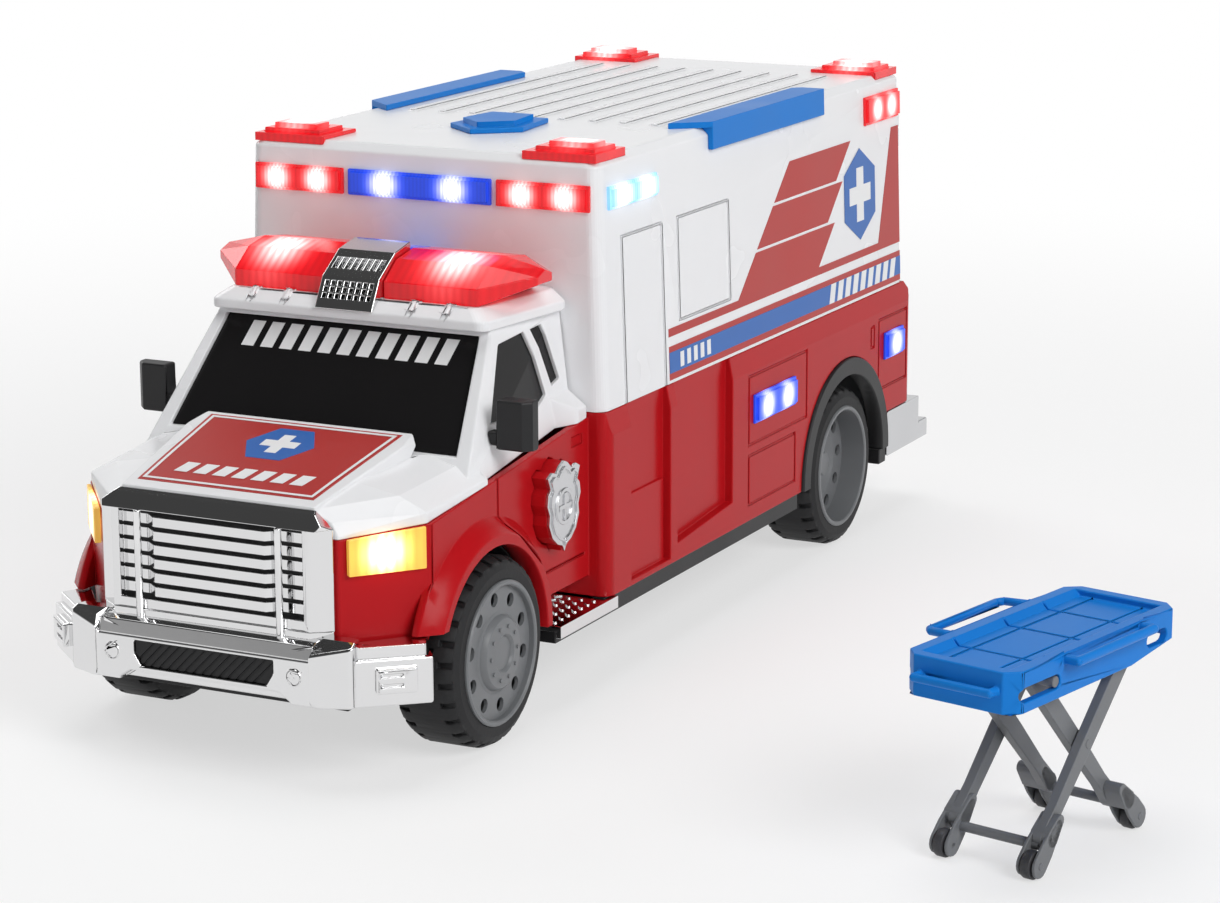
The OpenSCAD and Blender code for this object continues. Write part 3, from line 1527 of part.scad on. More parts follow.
// Tyre with rounded shoulders and cut tread blocks
module tyre() {
  s = tyre_shoulder;
  difference() {
    rotate([0, 90, 0]) rotate_extrude($fn = 96)
      polygon([[rim_r, wheel_in_x], [tyre_r - s, wheel_in_x], [tyre_r - s / 3, wheel_in_x + s / 3],
        [tyre_r, wheel_in_x + s], [tyre_r, wheel_out_x - s], [tyre_r - s / 3, wheel_out_x - s / 3],
        [tyre_r - s, wheel_out_x], [rim_r, wheel_out_x]]);
    for (i = [0 : lug_count - 1], row = [0, 1])
      rotate([(i + row / 2) * 360 / lug_count, 0, 0])
        translate([row == 0 ? wheel_in_x - overrun : wheel_out_x - lug_l, -lug_w / 2, tyre_r - lug_depth])
          cube([lug_l + overrun, lug_w, lug_depth + overrun]);
  }
}

module tyres_front() { color(black) at_wheel(front_axle_y) pair() tyre(); }
module tyres_rear() { color(black) at_wheel(rear_axle_y) pair() tyre(); }

// Ring of cuts or studs about the wheel's axis
module wheel_ring(count, r) {
  for (i = [0 : count - 1]) rotate([i * 360 / count, 0, 0]) translate([0, 0, r]) children();
}

// Front rim: a flat disc close to the lip, a raised hub and moulded nuts
module rim_front() {
  x1 = wheel_out_x + rim_proud;
  face = wheel_out_x - rim_face_set;
  rim_wall = rim_r * 0.11;
  back = face - rim_wall;
  hub_r = rim_r * 0.5;
  step = rim_r * 0.08;
  difference() {
    rotate([0, 90, 0]) rotate_extrude($fn = 96)
      polygon([[0, back], [rim_r - rim_wall, back], [rim_r - rim_wall, wheel_in_x],
        [rim_r, wheel_in_x], [rim_r, x1], [rim_r - rim_wall * 0.7, x1], [rim_r - rim_wall, face],
        [hub_r + step, face], [hub_r, face + step], [hub_r * 0.56, face + step * 1.5],
        [hub_r * 0.47, face + step * 0.8], [0, face + step]]);
    wheel_ring(rim_hole_count, rim_r * 0.74) rod_x(wheel_in_x, wheel_out_x + overrun, rim_r * 0.105);
  }
  wheel_ring(rim_hole_count, hub_r * 0.77) rod_x(face, face + step * 1.9, rim_r * 0.042);
  rim_boss(back);
}

// Rear rim: a deep dish with holes round a small hub
module rim_rear() {
  x1 = wheel_out_x + rim_proud;
  floor_x = wheel_out_x - rim_dish;
  rim_wall = rim_r * 0.09;
  back = floor_x - rim_wall;
  step = rim_r * 0.2;
  difference() {
    rotate([0, 90, 0]) rotate_extrude($fn = 96)
      polygon([[0, back], [rim_r - 2 * rim_wall, back], [rim_r - rim_wall, wheel_in_x],
        [rim_r, wheel_in_x], [rim_r, x1], [rim_r - rim_wall * 0.6, x1],
          [rim_r - rim_wall, x1 - rim_wall / 2],
        [rim_r - 2.4 * rim_wall, floor_x + rim_wall / 2], [rim_r * 0.36, floor_x],
        [rim_r * 0.3, floor_x + step], [0, floor_x + step * 1.1]]);
    wheel_ring(rim_hole_count, rim_r * 0.58) rod_x(wheel_in_x, wheel_out_x, rim_r * 0.1);
    rod_x(0, axle_out_x, axle_r);
  }
  rim_boss(back);
}

// Boss behind the disc that grips the axle
module rim_boss(back) {
  difference() {
    rod_x(wheel_in_x, back + fit, rim_r * 0.22);
    rod_x(wheel_in_x - overrun, axle_out_x, axle_r);
  }
}

module rims_front() { color(rim_grey) at_wheel(front_axle_y) pair() rim_front(); }
module rims_rear() { color(rim_grey) at_wheel(rear_axle_y) pair() rim_rear(); }

// Battery cells, their cover and the electrics
module battery_cells() {
  z = ground_gap + cover_t + cell_r + seat_gap;
  color(trim_blue) for (x = [-1, 1]) translate([x * (cell_r + seat_gap), bay_y, z]) {
    rod_y(-cell_l / 2, cell_l / 2 - cell_tip, cell_r);
    rod_y(cell_l / 2 - cell_tip, cell_l / 2, cell_tip_r);
  }
}

// Tab of the battery cover that takes its screw
module cover_tab(grow, z0, z1) {
  box(-tab_hw - grow, tab_hw + grow, tab_y - grow, bay_y - bay_l / 2 + overrun, z0, z1);
}

module battery_cover() {
  color(black) difference() {
    union() {
      box(-bay_hw + seat_gap, bay_hw - seat_gap, bay_y - bay_l / 2 + seat_gap, bay_y + bay_l / 2 - seat_gap,
        ground_gap, ground_gap + cover_t);
      cover_tab(0, ground_gap, ground_gap + cover_t);
    }
    translate([0, tab_screw_y, ground_gap - overrun]) {
      cylinder(h = cover_t + 2 * overrun, r = post_hole_r);
      cylinder(h = screw_head_h + overrun, r = sink_r);
    }
    for (y = [bay_y + bay_l / 2 - grip_l : grip_pitch : bay_y + bay_l / 2 - grip_pitch])
      box(-grip_hw, grip_hw, y, y + grip_w, ground_gap - overrun, ground_gap + groove_depth);
  }
}

// Screw with its head below the plane z = 0
module screw(l) {
  translate([0, 0, -screw_head_h]) cylinder(h = screw_head_h, r = screw_head_r);
  cylinder(h = l, r = screw_r);
}

module screws() {
  color(silver) {
    for (x = post_xs, y = post_ys)
      translate([x, y, ground_gap + sink_h]) screw(floor_z - ground_gap - sink_h);
    translate([0, tab_screw_y, ground_gap + screw_head_h]) screw(boss_h - screw_head_h);
  }
}

module circuit_board() {
  z = pan_top_z + standoff_h;
  color(trim_blue) {
    box(-board_w / 2, board_w / 2, board_y - board_l / 2, board_y + board_l / 2, z, z + board_t);
    box(-board_w * 0.15, board_w * 0.15, board_y - board_l / 6, board_y + board_l / 6, z + board_t,
      z + 2 * board_t);
    for (x = [-0.35, 0.32]) translate([x * board_w, board_y + board_l / 5, z + board_t])
      cylinder(h = 4 * board_t, r = 1.5 * board_t);
  }
}

module speaker() {
  color(grey) translate([0, speaker_y, pan_top_z]) {
    cylinder(h = speaker_h / 3, r = speaker_r);
    cylinder(h = speaker_h, r = speaker_r * 0.55);
  }
}

// Stretcher
module at_stretcher() {
  translate(stretcher_at) rotate([0, 0, stretcher_yaw]) children();
}

module stretcher_bed() {
  hw = bed_hw;
  hl = bed_hl;
  kink = hl * 0.4;
  inner_x = outer_leg_x + leg_gap;
  color(trim_blue) at_stretcher() difference() {
    union() {
      intersection() {
        prism_x([[-hl, bed_low_z], [kink, bed_low_z], [hl, bed_low_z + bed_rise], [hl, bed_top_z],
          [-hl, bed_top_z]], -hw, hw);
        prism_z(both_sides([[hw - bed_corner, -hl], [hw, -hl + bed_corner], [hw, hl - bed_corner],
          [hw - bed_corner, hl]]), 0, belt_z);
      }
      pair() bed_rail();
      bed_grab_bar();
    }
    // hollow from below
    box(-inner_x, inner_x, -hl + bed_end_t, hl - bed_wall, 0, bed_top_z - bed_dish - bed_top_t);
    // dished top between the rims
    prism_y(both_sides([[hw - bed_rim - bed_dish, bed_top_z - bed_dish], [hw - bed_rim, bed_top_z],
      [hw - bed_rim, belt_z]]), -hl + bed_rim, hl - bed_rim);
    for (y = [-hl * 0.56, hl * 0.02, hl * 0.5])
      box(-hw + bed_rim, hw - bed_rim, y, y + groove_w, bed_top_z - bed_dish - groove_depth, bed_top_z);
    for (x = [-hw * 0.45, hw * 0.45])
      box(x - groove_w / 2, x + groove_w / 2, -hl + bed_rim, hl - bed_rim,
        bed_top_z - bed_dish - groove_depth, bed_top_z);
    // slots in both side walls: the front one guides the inner frame's pin
    bed_slot(-pivot_reach - fold_travel, -pivot_reach);
    bed_slot(pivot_reach + spare_slot[0], pivot_reach + fold_travel - spare_slot[1]);
    // blind holes for the outer frame's pivots
    translate([0, pivot_reach, pivot_z])
      rod_x(-inner_x - bed_wall * 0.7, inner_x + bed_wall * 0.7, leg_pin_r + running);
  }
}

module bed_slot(y0, y1) {
  r = leg_pin_r + fit;
  for (y = [y0, y1]) translate([0, y, pivot_z]) rod_x(-bed_w, bed_w, r);
  box(-bed_w, bed_w, y0, y1, pivot_z - r, pivot_z + r);
}

// Side rail: a rod on two arms that stand out from the bed
module bed_rail() {
  r = rail_r;
  out = bed_hw + rail_out;
  z = bed_top_z - r;
  y0 = -bed_hl * 0.42;
  y1 = bed_hl * 0.5;
  translate([out, 0, z]) rod_y(y0, y1, r);
  for (y = [y0, y1]) {
    translate([out, y, z]) sphere(r);
    translate([0, y, z]) rod_x(bed_hw - overrun, out, r);
  }
}

module bed_grab_bar() {
  r = grab_r;
  reach = grab_reach;
  hw = bed_hw * 0.66;
  z = bed_top_z - grab_drop;
  translate([0, -bed_hl - reach, z]) rod_x(-hw, hw, r);
  for (x = [-hw, hw]) {
    translate([x, -bed_hl - reach, z]) sphere(r);
    translate([x, 0, z]) rod_y(-bed_hl - reach, -bed_hl + overrun, r);
  }
}

// Unit step down one leg, seen from the side
function leg_way(top_y, foot_y) = let (run = [foot_y - top_y, caster_r - pivot_z]) run / norm(run);

// One leg: a bar from the pivot down to its foot
module leg_bar(top_y, foot_y, x0, x1) {
  along = leg_way(top_y, foot_y);
  side = [-along[1], along[0]] * leg_w / 2;
  top = [top_y, pivot_z];
  foot = [foot_y, caster_r] - along * foot_lap;
  prism_x([top + side, foot + side * 0.8, foot - side * 0.8, top - side], x0, x1);
  translate([0, top_y, pivot_z]) rod_x(x0, x1, leg_w / 2);
}

// Round forked foot, with the caster's pin across the fork
module leg_foot(top_y, foot_y) {
  along = leg_way(top_y, foot_y);
  side = [-along[1], along[0]] * foot_r;
  a = [foot_y, caster_r] - along * foot_l;
  b = [foot_y, caster_r];
  slot = caster_w / 2 + caster_gap;
  x0 = foot_x - foot_w / 2;
  x1 = foot_x + foot_w / 2;
  difference() {
    union() {
      prism_x([a + side * 0.7, b + side, b - side, a - side * 0.7], x0, x1);
      translate([0, foot_y, caster_r]) rod_x(x0, x1, foot_r);
    }
    translate([0, foot_y, caster_r]) rod_x(foot_x - slot, foot_x + slot, caster_r + 2 * caster_gap);
  }
  translate([0, foot_y, caster_r]) rod_x(foot_x - slot - fit, foot_x + slot + fit, caster_pin_r);
}

// Outer frame: pivots at the rear of the bed, casters at the front
module leg_frame_outer() {
  x0 = outer_leg_x - leg_t;
  color(grey) at_stretcher() {
    difference() {
      union() {
        pair() {
          leg_bar(pivot_reach, -caster_reach, x0, outer_leg_x);
          leg_foot(pivot_reach, -caster_reach);
          translate([0, pivot_reach, pivot_z])
            rod_x(outer_leg_x - overrun, outer_leg_x + leg_gap + bed_wall * 0.6, leg_pin_r);
        }
        tie(-caster_reach, 1);
      }
      translate([0, 0, cross_z]) rod_x(-bed_w, bed_w, cross_pin_r + running);
    }
  }
}

// Inner frame: its top pins slide in the front slots, casters at the rear
module leg_frame_inner() {
  x0 = inner_leg_x - leg_t;
  color(grey) at_stretcher() {
    pair() {
      leg_bar(-pivot_reach, caster_reach, x0, inner_leg_x);
      leg_foot(-pivot_reach, caster_reach);
      translate([0, -pivot_reach, pivot_z]) rod_x(inner_leg_x - overrun, bed_hw - fit, leg_pin_r);
      translate([0, 0, cross_z]) rod_x(inner_leg_x - overrun, outer_leg_x, cross_pin_r);
    }
    tie(caster_reach, -1);
  }
}

// Round bar that ties the two feet of a frame above the casters
module tie(foot_y, side) {
  up = 2 * caster_r;
  share = up / rise;
  y = foot_y + side * share * (caster_reach + pivot_reach);
  x = foot_x - foot_w / 2 + fit;
  translate([0, y, caster_r + up]) rod_x(-x, x, tie_r);
}

// A pair of casters on the feet of one frame
module caster_pair(y) {
  at_stretcher() pair() translate([0, y, caster_r]) difference() {
    rod_x(foot_x - caster_w / 2, foot_x + caster_w / 2, caster_r);
    rod_x(foot_x - caster_w, foot_x + caster_w, caster_pin_r + running);
  }
}

module casters_front() { color(grey) caster_pair(-caster_reach); }
module casters_rear() { color(grey) caster_pair(caster_reach); }

chassis();
lower_body();
cab_upper();
cab_glazing();
grille();
grille_backing();
front_bumper();
bumper_mesh();
headlamp_left();
headlamp_right();
mirror_left();
mirror_right();
bar_lenses();
bar_louvre();
bar_centre_lens();
module_shell();
front_lens_blue();
front_lenses_red();
side_lenses();
rear_side_lenses();
skirt_lenses();
roof_corner_lenses();
roof_trim_left();
roof_trim_right();
roof_piece();
button_key();
button_plate();
badge_plate();
button_switch();
step_left();
step_right();
arch_trim_left();
arch_trim_right();
rear_bumper();
module_floor();
rear_door_left();
rear_door_right();
door_window_left();
door_window_right();
door_handle_left();
door_handle_right();
hinge_pins();
tail_lamps();
axle_front();
axle_rear();
tyres_front();
tyres_rear();
rims_front();
rims_rear();
battery_cells();
battery_cover();
screws();
circuit_board();
speaker();
stretcher_bed();
leg_frame_outer();
leg_frame_inner();
casters_front();
casters_rear();
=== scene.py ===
import math

import bmesh
import bpy
from mathutils import Matrix, Vector
from mathutils.bvhtree import BVHTree


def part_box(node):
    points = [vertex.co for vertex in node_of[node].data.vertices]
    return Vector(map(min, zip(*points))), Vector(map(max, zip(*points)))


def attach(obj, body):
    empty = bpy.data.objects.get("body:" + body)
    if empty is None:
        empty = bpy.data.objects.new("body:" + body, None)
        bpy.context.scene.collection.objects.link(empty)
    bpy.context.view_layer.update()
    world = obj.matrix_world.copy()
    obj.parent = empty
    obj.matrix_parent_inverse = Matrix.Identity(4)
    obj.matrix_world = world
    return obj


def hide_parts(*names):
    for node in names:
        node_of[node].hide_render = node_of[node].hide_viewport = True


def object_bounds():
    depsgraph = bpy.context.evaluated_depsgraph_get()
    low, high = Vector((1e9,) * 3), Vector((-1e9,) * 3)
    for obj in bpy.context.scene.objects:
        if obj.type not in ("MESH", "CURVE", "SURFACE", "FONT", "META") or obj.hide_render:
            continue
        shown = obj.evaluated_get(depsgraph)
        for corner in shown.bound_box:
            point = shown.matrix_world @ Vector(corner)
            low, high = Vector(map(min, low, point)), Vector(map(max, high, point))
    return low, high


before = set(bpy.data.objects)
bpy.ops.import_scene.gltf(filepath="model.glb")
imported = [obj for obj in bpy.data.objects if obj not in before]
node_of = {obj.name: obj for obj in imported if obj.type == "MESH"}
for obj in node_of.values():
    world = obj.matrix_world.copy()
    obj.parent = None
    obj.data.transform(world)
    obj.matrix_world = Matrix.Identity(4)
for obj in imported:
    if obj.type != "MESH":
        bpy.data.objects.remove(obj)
cad_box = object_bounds()

# Camera: a long lens from the front quarter, a little above the roof.
# It looks at the driver's side of the vehicle, with the stretcher in front on the right.
MM = 0.001
LENS_MM = 100.82
SENSOR_MM = 36.0
NEAR_CLIP_MM = 10.0
CAMERA_ROLL = math.radians(-0.22)
camera_place = Vector((432.45, -814.38, 262.65)) * MM
camera_forward = Vector((-0.43486, 0.87029, -0.23127)).normalized()
camera_data = bpy.data.cameras.new("photo_camera")
camera_data.sensor_width = SENSOR_MM
camera_data.lens = LENS_MM
camera_data.clip_start = NEAR_CLIP_MM * MM
camera = bpy.data.objects.new("photo_camera", camera_data)
camera_turn = camera_forward.to_track_quat("-Z", "Y").to_matrix().to_4x4()
camera.matrix_world = Matrix.Translation(camera_place) @ camera_turn @ Matrix.Rotation(CAMERA_ROLL, 4, "Z")
bpy.context.scene.collection.objects.link(camera)
bpy.context.scene.camera = camera
bpy.context.scene.view_settings.view_transform = "Standard"

# Studio: a pale floor that turns white away from the object, and a surround that shines gently.
# The surround has white walls and a dark ceiling, and shows them in the chrome and the gloss.
FLOOR_REACH = 9.0
FLOOR_STEPS = 96
FLOOR_TONE = (0.93, 0.93, 0.935, 1.0)
FLOOR_MOTTLE = 0.99
FLOOR_GRAIN = 3.0
FLOOR_ROUGH = 0.62
FLOOR_SHEEN = 0.2
FLOOR_FADE = (0.20, 0.75)
FLOOR_WHITE = (0.60, 1.0)
SURROUND_LIGHT = 0.54
CEILING_TONE = 0.06
CEILING_FADE = (math.sin(math.radians(10)), math.sin(math.radians(36)))
WHITE_LIGHT = (1.0, 1.0, 1.0, 1.0)
MIX_COLOURS_IN = (6, 7)
MIX_COLOUR_OUT = 2


def add_node(tree, kind, **settings):
    node = tree.nodes.new(f"ShaderNode{kind}")
    for name, value in settings.items():
        setattr(node, name, value)
    return node


def feed(tree, socket, value):
    if isinstance(value, bpy.types.NodeSocket):
        tree.links.new(value, socket)
    else:
        socket.default_value = value


def math_node(tree, operation, first, second):
    node = add_node(tree, "Math", operation=operation)
    for socket, value in zip(node.inputs, (first, second)):
        feed(tree, socket, value)
    return node.outputs["Value"]


def ramp_node(tree, value, span, ends, kind="LINEAR"):
    node = add_node(tree, "MapRange", interpolation_type=kind)
    tree.links.new(value, node.inputs["Value"])
    node.inputs["From Min"].default_value, node.inputs["From Max"].default_value = span
    node.inputs["To Min"].default_value, node.inputs["To Max"].default_value = ends
    return node.outputs["Result"]


def colour_mix(tree, factor, first, second):
    node = add_node(tree, "Mix", data_type="RGBA")
    tree.links.new(factor, node.inputs["Factor"])
    for index, value in zip(MIX_COLOURS_IN, (first, second)):
        feed(tree, node.inputs[index], value)
    return node.outputs[MIX_COLOUR_OUT]


def seen_by_eye(tree):
    ray = add_node(tree, "LightPath")
    mirrored = math_node(tree, "MAXIMUM", ray.outputs["Is Glossy Ray"], ray.outputs["Is Transmission Ray"])
    return math_node(tree, "MAXIMUM", ray.outputs["Is Camera Ray"], mirrored)


floor_mesh = bpy.data.meshes.new("studio_floor")
floor_bm = bmesh.new()
bmesh.ops.create_circle(floor_bm, cap_ends=True, segments=FLOOR_STEPS, radius=FLOOR_REACH)
floor_bm.to_mesh(floor_mesh)
floor_bm.free()
studio_floor = bpy.data.objects.new("studio_floor", floor_mesh)
bpy.context.scene.collection.objects.link(studio_floor)
floor_paint = bpy.data.materials.new("floor_paint")
floor_paint.use_nodes = True
floor_tree = floor_paint.node_tree
floor_shader = floor_tree.nodes["Principled BSDF"]
floor_shader.inputs["Roughness"].default_value = FLOOR_ROUGH
floor_shader.inputs["Specular IOR Level"].default_value = FLOOR_SHEEN
floor_coord = add_node(floor_tree, "TexCoord")
floor_noise = add_node(floor_tree, "TexNoise")
floor_noise.inputs["Scale"].default_value = FLOOR_GRAIN
floor_tree.links.new(floor_coord.outputs["Object"], floor_noise.inputs["Vector"])
floor_worn = tuple(c * FLOOR_MOTTLE for c in FLOOR_TONE[:3]) + (1.0,)
floor_colour = colour_mix(floor_tree, floor_noise.outputs["Fac"], FLOOR_TONE, floor_worn)
floor_tree.links.new(floor_colour, floor_shader.inputs["Base Color"])
floor_far = add_node(floor_tree, "VectorMath", operation="LENGTH")
floor_tree.links.new(floor_coord.outputs["Object"], floor_far.inputs[0])
floor_fade = ramp_node(floor_tree, floor_far.outputs["Value"], FLOOR_FADE, FLOOR_WHITE, "SMOOTHSTEP")
floor_white = add_node(floor_tree, "Emission")
floor_white.inputs["Color"].default_value = WHITE_LIGHT
floor_blend = add_node(floor_tree, "MixShader")
floor_share = math_node(floor_tree, "MULTIPLY", floor_fade, seen_by_eye(floor_tree))
floor_tree.links.new(floor_share, floor_blend.inputs["Fac"])
floor_tree.links.new(floor_shader.outputs["BSDF"], floor_blend.inputs[1])
floor_tree.links.new(floor_white.outputs["Emission"], floor_blend.inputs[2])
floor_tree.links.new(floor_blend.outputs["Shader"], floor_tree.nodes["Material Output"].inputs["Surface"])
floor_mesh.materials.append(floor_paint)

world = bpy.data.worlds.new("studio_surround")
bpy.context.scene.world = world
world.use_nodes = True
world_tree = world.node_tree
world_back = world_tree.nodes["Background"]
world_coord = add_node(world_tree, "TexCoord")
world_split = add_node(world_tree, "SeparateXYZ")
world_tree.links.new(world_coord.outputs["Generated"], world_split.inputs["Vector"])
world_rise = ramp_node(world_tree, world_split.outputs["Z"], CEILING_FADE, (0.0, 1.0), "SMOOTHSTEP")
ceiling = (CEILING_TONE, CEILING_TONE, CEILING_TONE, 1.0)
world_tree.links.new(colour_mix(world_tree, world_rise, WHITE_LIGHT, ceiling), world_back.inputs["Color"])
world_power = ramp_node(world_tree, seen_by_eye(world_tree), (0.0, 1.0), (SURROUND_LIGHT, 1.0))
world_tree.links.new(world_power, world_back.inputs["Strength"])


def soft_lamp(name, place, size, watts):
    data = bpy.data.lights.new(name, "AREA")
    data.shape = "DISK"
    data.size = size
    data.energy = watts
    lamp = bpy.data.objects.new(name, data)
    turn = (-Vector(place)).to_track_quat("-Z", "Y").to_matrix().to_4x4()
    lamp.matrix_world = Matrix.Translation(Vector(place)) @ turn
    bpy.context.scene.collection.objects.link(lamp)


soft_lamp("key_lamp", place=(1.25, -0.60, 0.95), size=0.9, watts=15.0)
soft_lamp("top_lamp", place=(-0.15, 0.10, 1.50), size=1.1, watts=9.5)
soft_lamp("far_lamp", place=(-1.20, 0.55, 0.90), size=0.8, watts=5.0)

# Chassis, battery cover and arch trims: black moulded plastic with a fine satin grain.
# The pan is screwed up into the body from below, and the trims are clipped round the arches.
EDGE_ANGLE = math.radians(32)
WELD_MM = 0.002
FLOW_SCALE = 38.0
GRAIN_MM = 0.2
ROUGH_SPREAD = (0.82, 1.2)
BLACK = (0.014, 0.014, 0.015)


def ease_edges(piece, width_mm, segments=2):
    weld = piece.modifiers.new("join_faces", "WELD")
    weld.merge_threshold = WELD_MM * MM
    bevel = piece.modifiers.new("eased_edges", "BEVEL")
    bevel.width = width_mm * MM
    bevel.segments = segments
    bevel.limit_method = "ANGLE"
    bevel.angle_limit = EDGE_ANGLE
    bevel.use_clamp_overlap = False
    bevel.harden_normals = True


def tone(colour, share):
    return tuple(min(1.0, c * share) for c in colour) + (1.0,)


def moulded_finish(name, colour, rough, mottle=0.04, grain=1400.0, bump=0.04, metal=0.0, sheen=0.3):
    finish = bpy.data.materials.new(name)
    finish.use_nodes = True
    tree = finish.node_tree
    shader = tree.nodes["Principled BSDF"]
    shader.inputs["Metallic"].default_value = metal
    shader.inputs["Specular IOR Level"].default_value = sheen
    coord = add_node(tree, "TexCoord")
    flow = add_node(tree, "TexNoise")
    flow.inputs["Scale"].default_value = FLOW_SCALE
    skin = add_node(tree, "TexNoise")
    skin.inputs["Scale"].default_value = grain
    for noise in (flow, skin):
        tree.links.new(coord.outputs["Object"], noise.inputs["Vector"])
    shade = colour_mix(tree, flow.outputs["Fac"], tone(colour, 1.0 - mottle), tone(colour, 1.0 + mottle))
    tree.links.new(shade, shader.inputs["Base Color"])
    gloss = ramp_node(tree, flow.outputs["Fac"], (0.0, 1.0), [rough * share for share in ROUGH_SPREAD])
    tree.links.new(gloss, shader.inputs["Roughness"])
    relief = add_node(tree, "Bump")
    relief.inputs["Strength"].default_value = bump
    relief.inputs["Distance"].default_value = GRAIN_MM * MM
    tree.links.new(skin.outputs["Fac"], relief.inputs["Height"])
    tree.links.new(relief.outputs["Normal"], shader.inputs["Normal"])
    return finish


def dress(names, finish, edge_mm=0.0, segments=2):
    for name in names:
        piece = node_of[name]
        for place in piece.material_slots:
            place.material = finish
        if edge_mm:
            ease_edges(piece, edge_mm, segments)


satin_black = moulded_finish("satin_black_plastic", BLACK, rough=0.42, mottle=0.12, grain=1700.0, bump=0.16)
dress(["chassis", "battery_cover"], satin_black, edge_mm=0.25)
dress(["arch_trim_left", "arch_trim_right"], satin_black, edge_mm=0.45)

# Lower body: one red moulding, from the nose round the doors to the skirt of the box.
# Bright gloss, with eased edges where the mould was polished. The push shield's key is the same.
RED = (0.46, 0.008, 0.012)
red_gloss = moulded_finish("red_gloss_plastic", RED, rough=0.24, mottle=0.05, grain=900.0, bump=0.02,
                           sheen=0.12)
dress(["lower_body"], red_gloss, edge_mm=0.35)
dress(["button_key"], red_gloss, edge_mm=0.45)

# White mouldings: the upper cab with the bonnet, and the shell of the box.
# Smooth gloss white plastic, a little cool in tone.
WHITE = (0.84, 0.845, 0.86)
WHITE_LOOK = {"rough": 0.26, "mottle": 0.012, "grain": 900.0, "bump": 0.02}
white_gloss = moulded_finish("white_gloss_plastic", WHITE, **WHITE_LOOK)
dress(["cab_upper", "module_shell"], white_gloss, edge_mm=0.5)

# Rear doors: white above the belt and red below it, as the box that they close.
# The two colours are masked and sprayed on one moulding. The pull handles are black.
belt_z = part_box("module_shell")[0].z
door_paint = moulded_finish("door_two_tone_paint", WHITE, **WHITE_LOOK)
door_tree = door_paint.node_tree
door_base = door_tree.nodes["Principled BSDF"].inputs["Base Color"]
door_white = door_base.links[0].from_socket
door_split = add_node(door_tree, "SeparateXYZ")
door_tree.links.new(add_node(door_tree, "TexCoord").outputs["Object"], door_split.inputs["Vector"])
door_above = math_node(door_tree, "GREATER_THAN", door_split.outputs["Z"], belt_z)
door_tree.links.new(colour_mix(door_tree, door_above, RED + (1.0,), door_white), door_base)
dress(["rear_door_left", "rear_door_right"], door_paint, edge_mm=0.35)
dress(["door_handle_left", "door_handle_right"], satin_black, edge_mm=0.3)

# Glazing: one black insert behind the openings of the cab, and black panes in the doors.
# Polished plastic, so it reads as dark glass.
PANE = (0.012, 0.0115, 0.012)
pane_black = moulded_finish("polished_black_pane", PANE, rough=0.14, mottle=0.1, grain=700.0, bump=0.01,
                            sheen=0.15)
dress(["cab_glazing", "door_window_left", "door_window_right"], pane_black)

# Chrome front: grille with stepped bars, bumper, side steps and the louvre of the light bar.
# Plated plastic, bright with soft waves in the plating, over a black mesh and backing. The bumper's
# top slopes up to a foot under the grille, so no red shows between them.
CHROME = (0.76, 0.76, 0.765)
SLOPE_HALF = 29.7
SLOPE_PROFILE = ((1.05, -4.45), (2.55, -1.25), (4.3, -0.6), (8.9, -0.6), (8.9, -3.2), (2.4, -4.7))
FOOT_PLAN = ((-5.0, 1.2), (-0.2, 4.5), (-0.2, 5.2))
FOOT_Z = (-0.4, 2.55)
FOOT_EDGE = 0.25
bright_chrome = moulded_finish("bright_chrome_plating", CHROME, rough=0.06, mottle=0.03, grain=260.0,
                               bump=0.03, metal=1.0, sheen=0.5)
dress(["grille", "bar_louvre"], bright_chrome, edge_mm=0.25)
dress(["front_bumper"], bright_chrome, edge_mm=0.6, segments=3)
dress(["step_left", "step_right"], bright_chrome, edge_mm=0.15)
dress(["grille_backing", "bumper_mesh"], satin_black)


def finish_piece(name, bm, finish, body):
    bmesh.ops.recalc_face_normals(bm, faces=bm.faces)
    mesh = bpy.data.meshes.new(name)
    bm.to_mesh(mesh)
    bm.free()
    mesh.materials.append(finish)
    piece = bpy.data.objects.new(name, mesh)
    bpy.context.scene.collection.objects.link(piece)
    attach(piece, body)
    return piece


def extrude(bm, faces, way):
    grown = bmesh.ops.extrude_face_region(bm, geom=faces)["geom"]
    moved = [item for item in grown if isinstance(item, bmesh.types.BMVert)]
    bmesh.ops.translate(bm, verts=moved, vec=Vector(way) * MM)


def chrome_prism(name, corners, way):
    bm = bmesh.new()
    face = bm.faces.new([bm.verts.new(Vector(corner) * MM) for corner in corners])
    extrude(bm, [face], way)
    piece = finish_piece(name, bm, bright_chrome, "vehicle")
    ease_edges(piece, FOOT_EDGE)


bumper_low, bumper_high = (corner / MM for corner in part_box("front_bumper"))
slope_corners = [(-SLOPE_HALF, bumper_low.y + y, bumper_high.z + z) for y, z in SLOPE_PROFILE]
chrome_prism("bumper_slope", slope_corners, (2 * SLOPE_HALF, 0.0, 0.0))
grille_low, grille_high = (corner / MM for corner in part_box("grille"))
foot_side = [(grille_high.x + x, grille_low.y + y, grille_low.z + FOOT_Z[0]) for x, y in FOOT_PLAN]
foot_corners = foot_side + [(-x, y, z) for x, y, z in reversed(foot_side)]
chrome_prism("grille_foot", foot_corners, (0.0, 0.0, FOOT_Z[1] - FOOT_Z[0]))

# Silver pieces: the plates of the two door shields and the rear bumper.
# Plated with a duller finish than the grille.
SILVER = (0.62, 0.625, 0.64)
satin_silver = moulded_finish("satin_silver_plating", SILVER, rough=0.24, mottle=0.05, grain=600.0, bump=0.04,
                              metal=1.0, sheen=0.5)
dress(["button_plate", "badge_plate"], satin_silver, edge_mm=0.2)
dress(["rear_bumper"], satin_silver, edge_mm=0.6, segments=3)

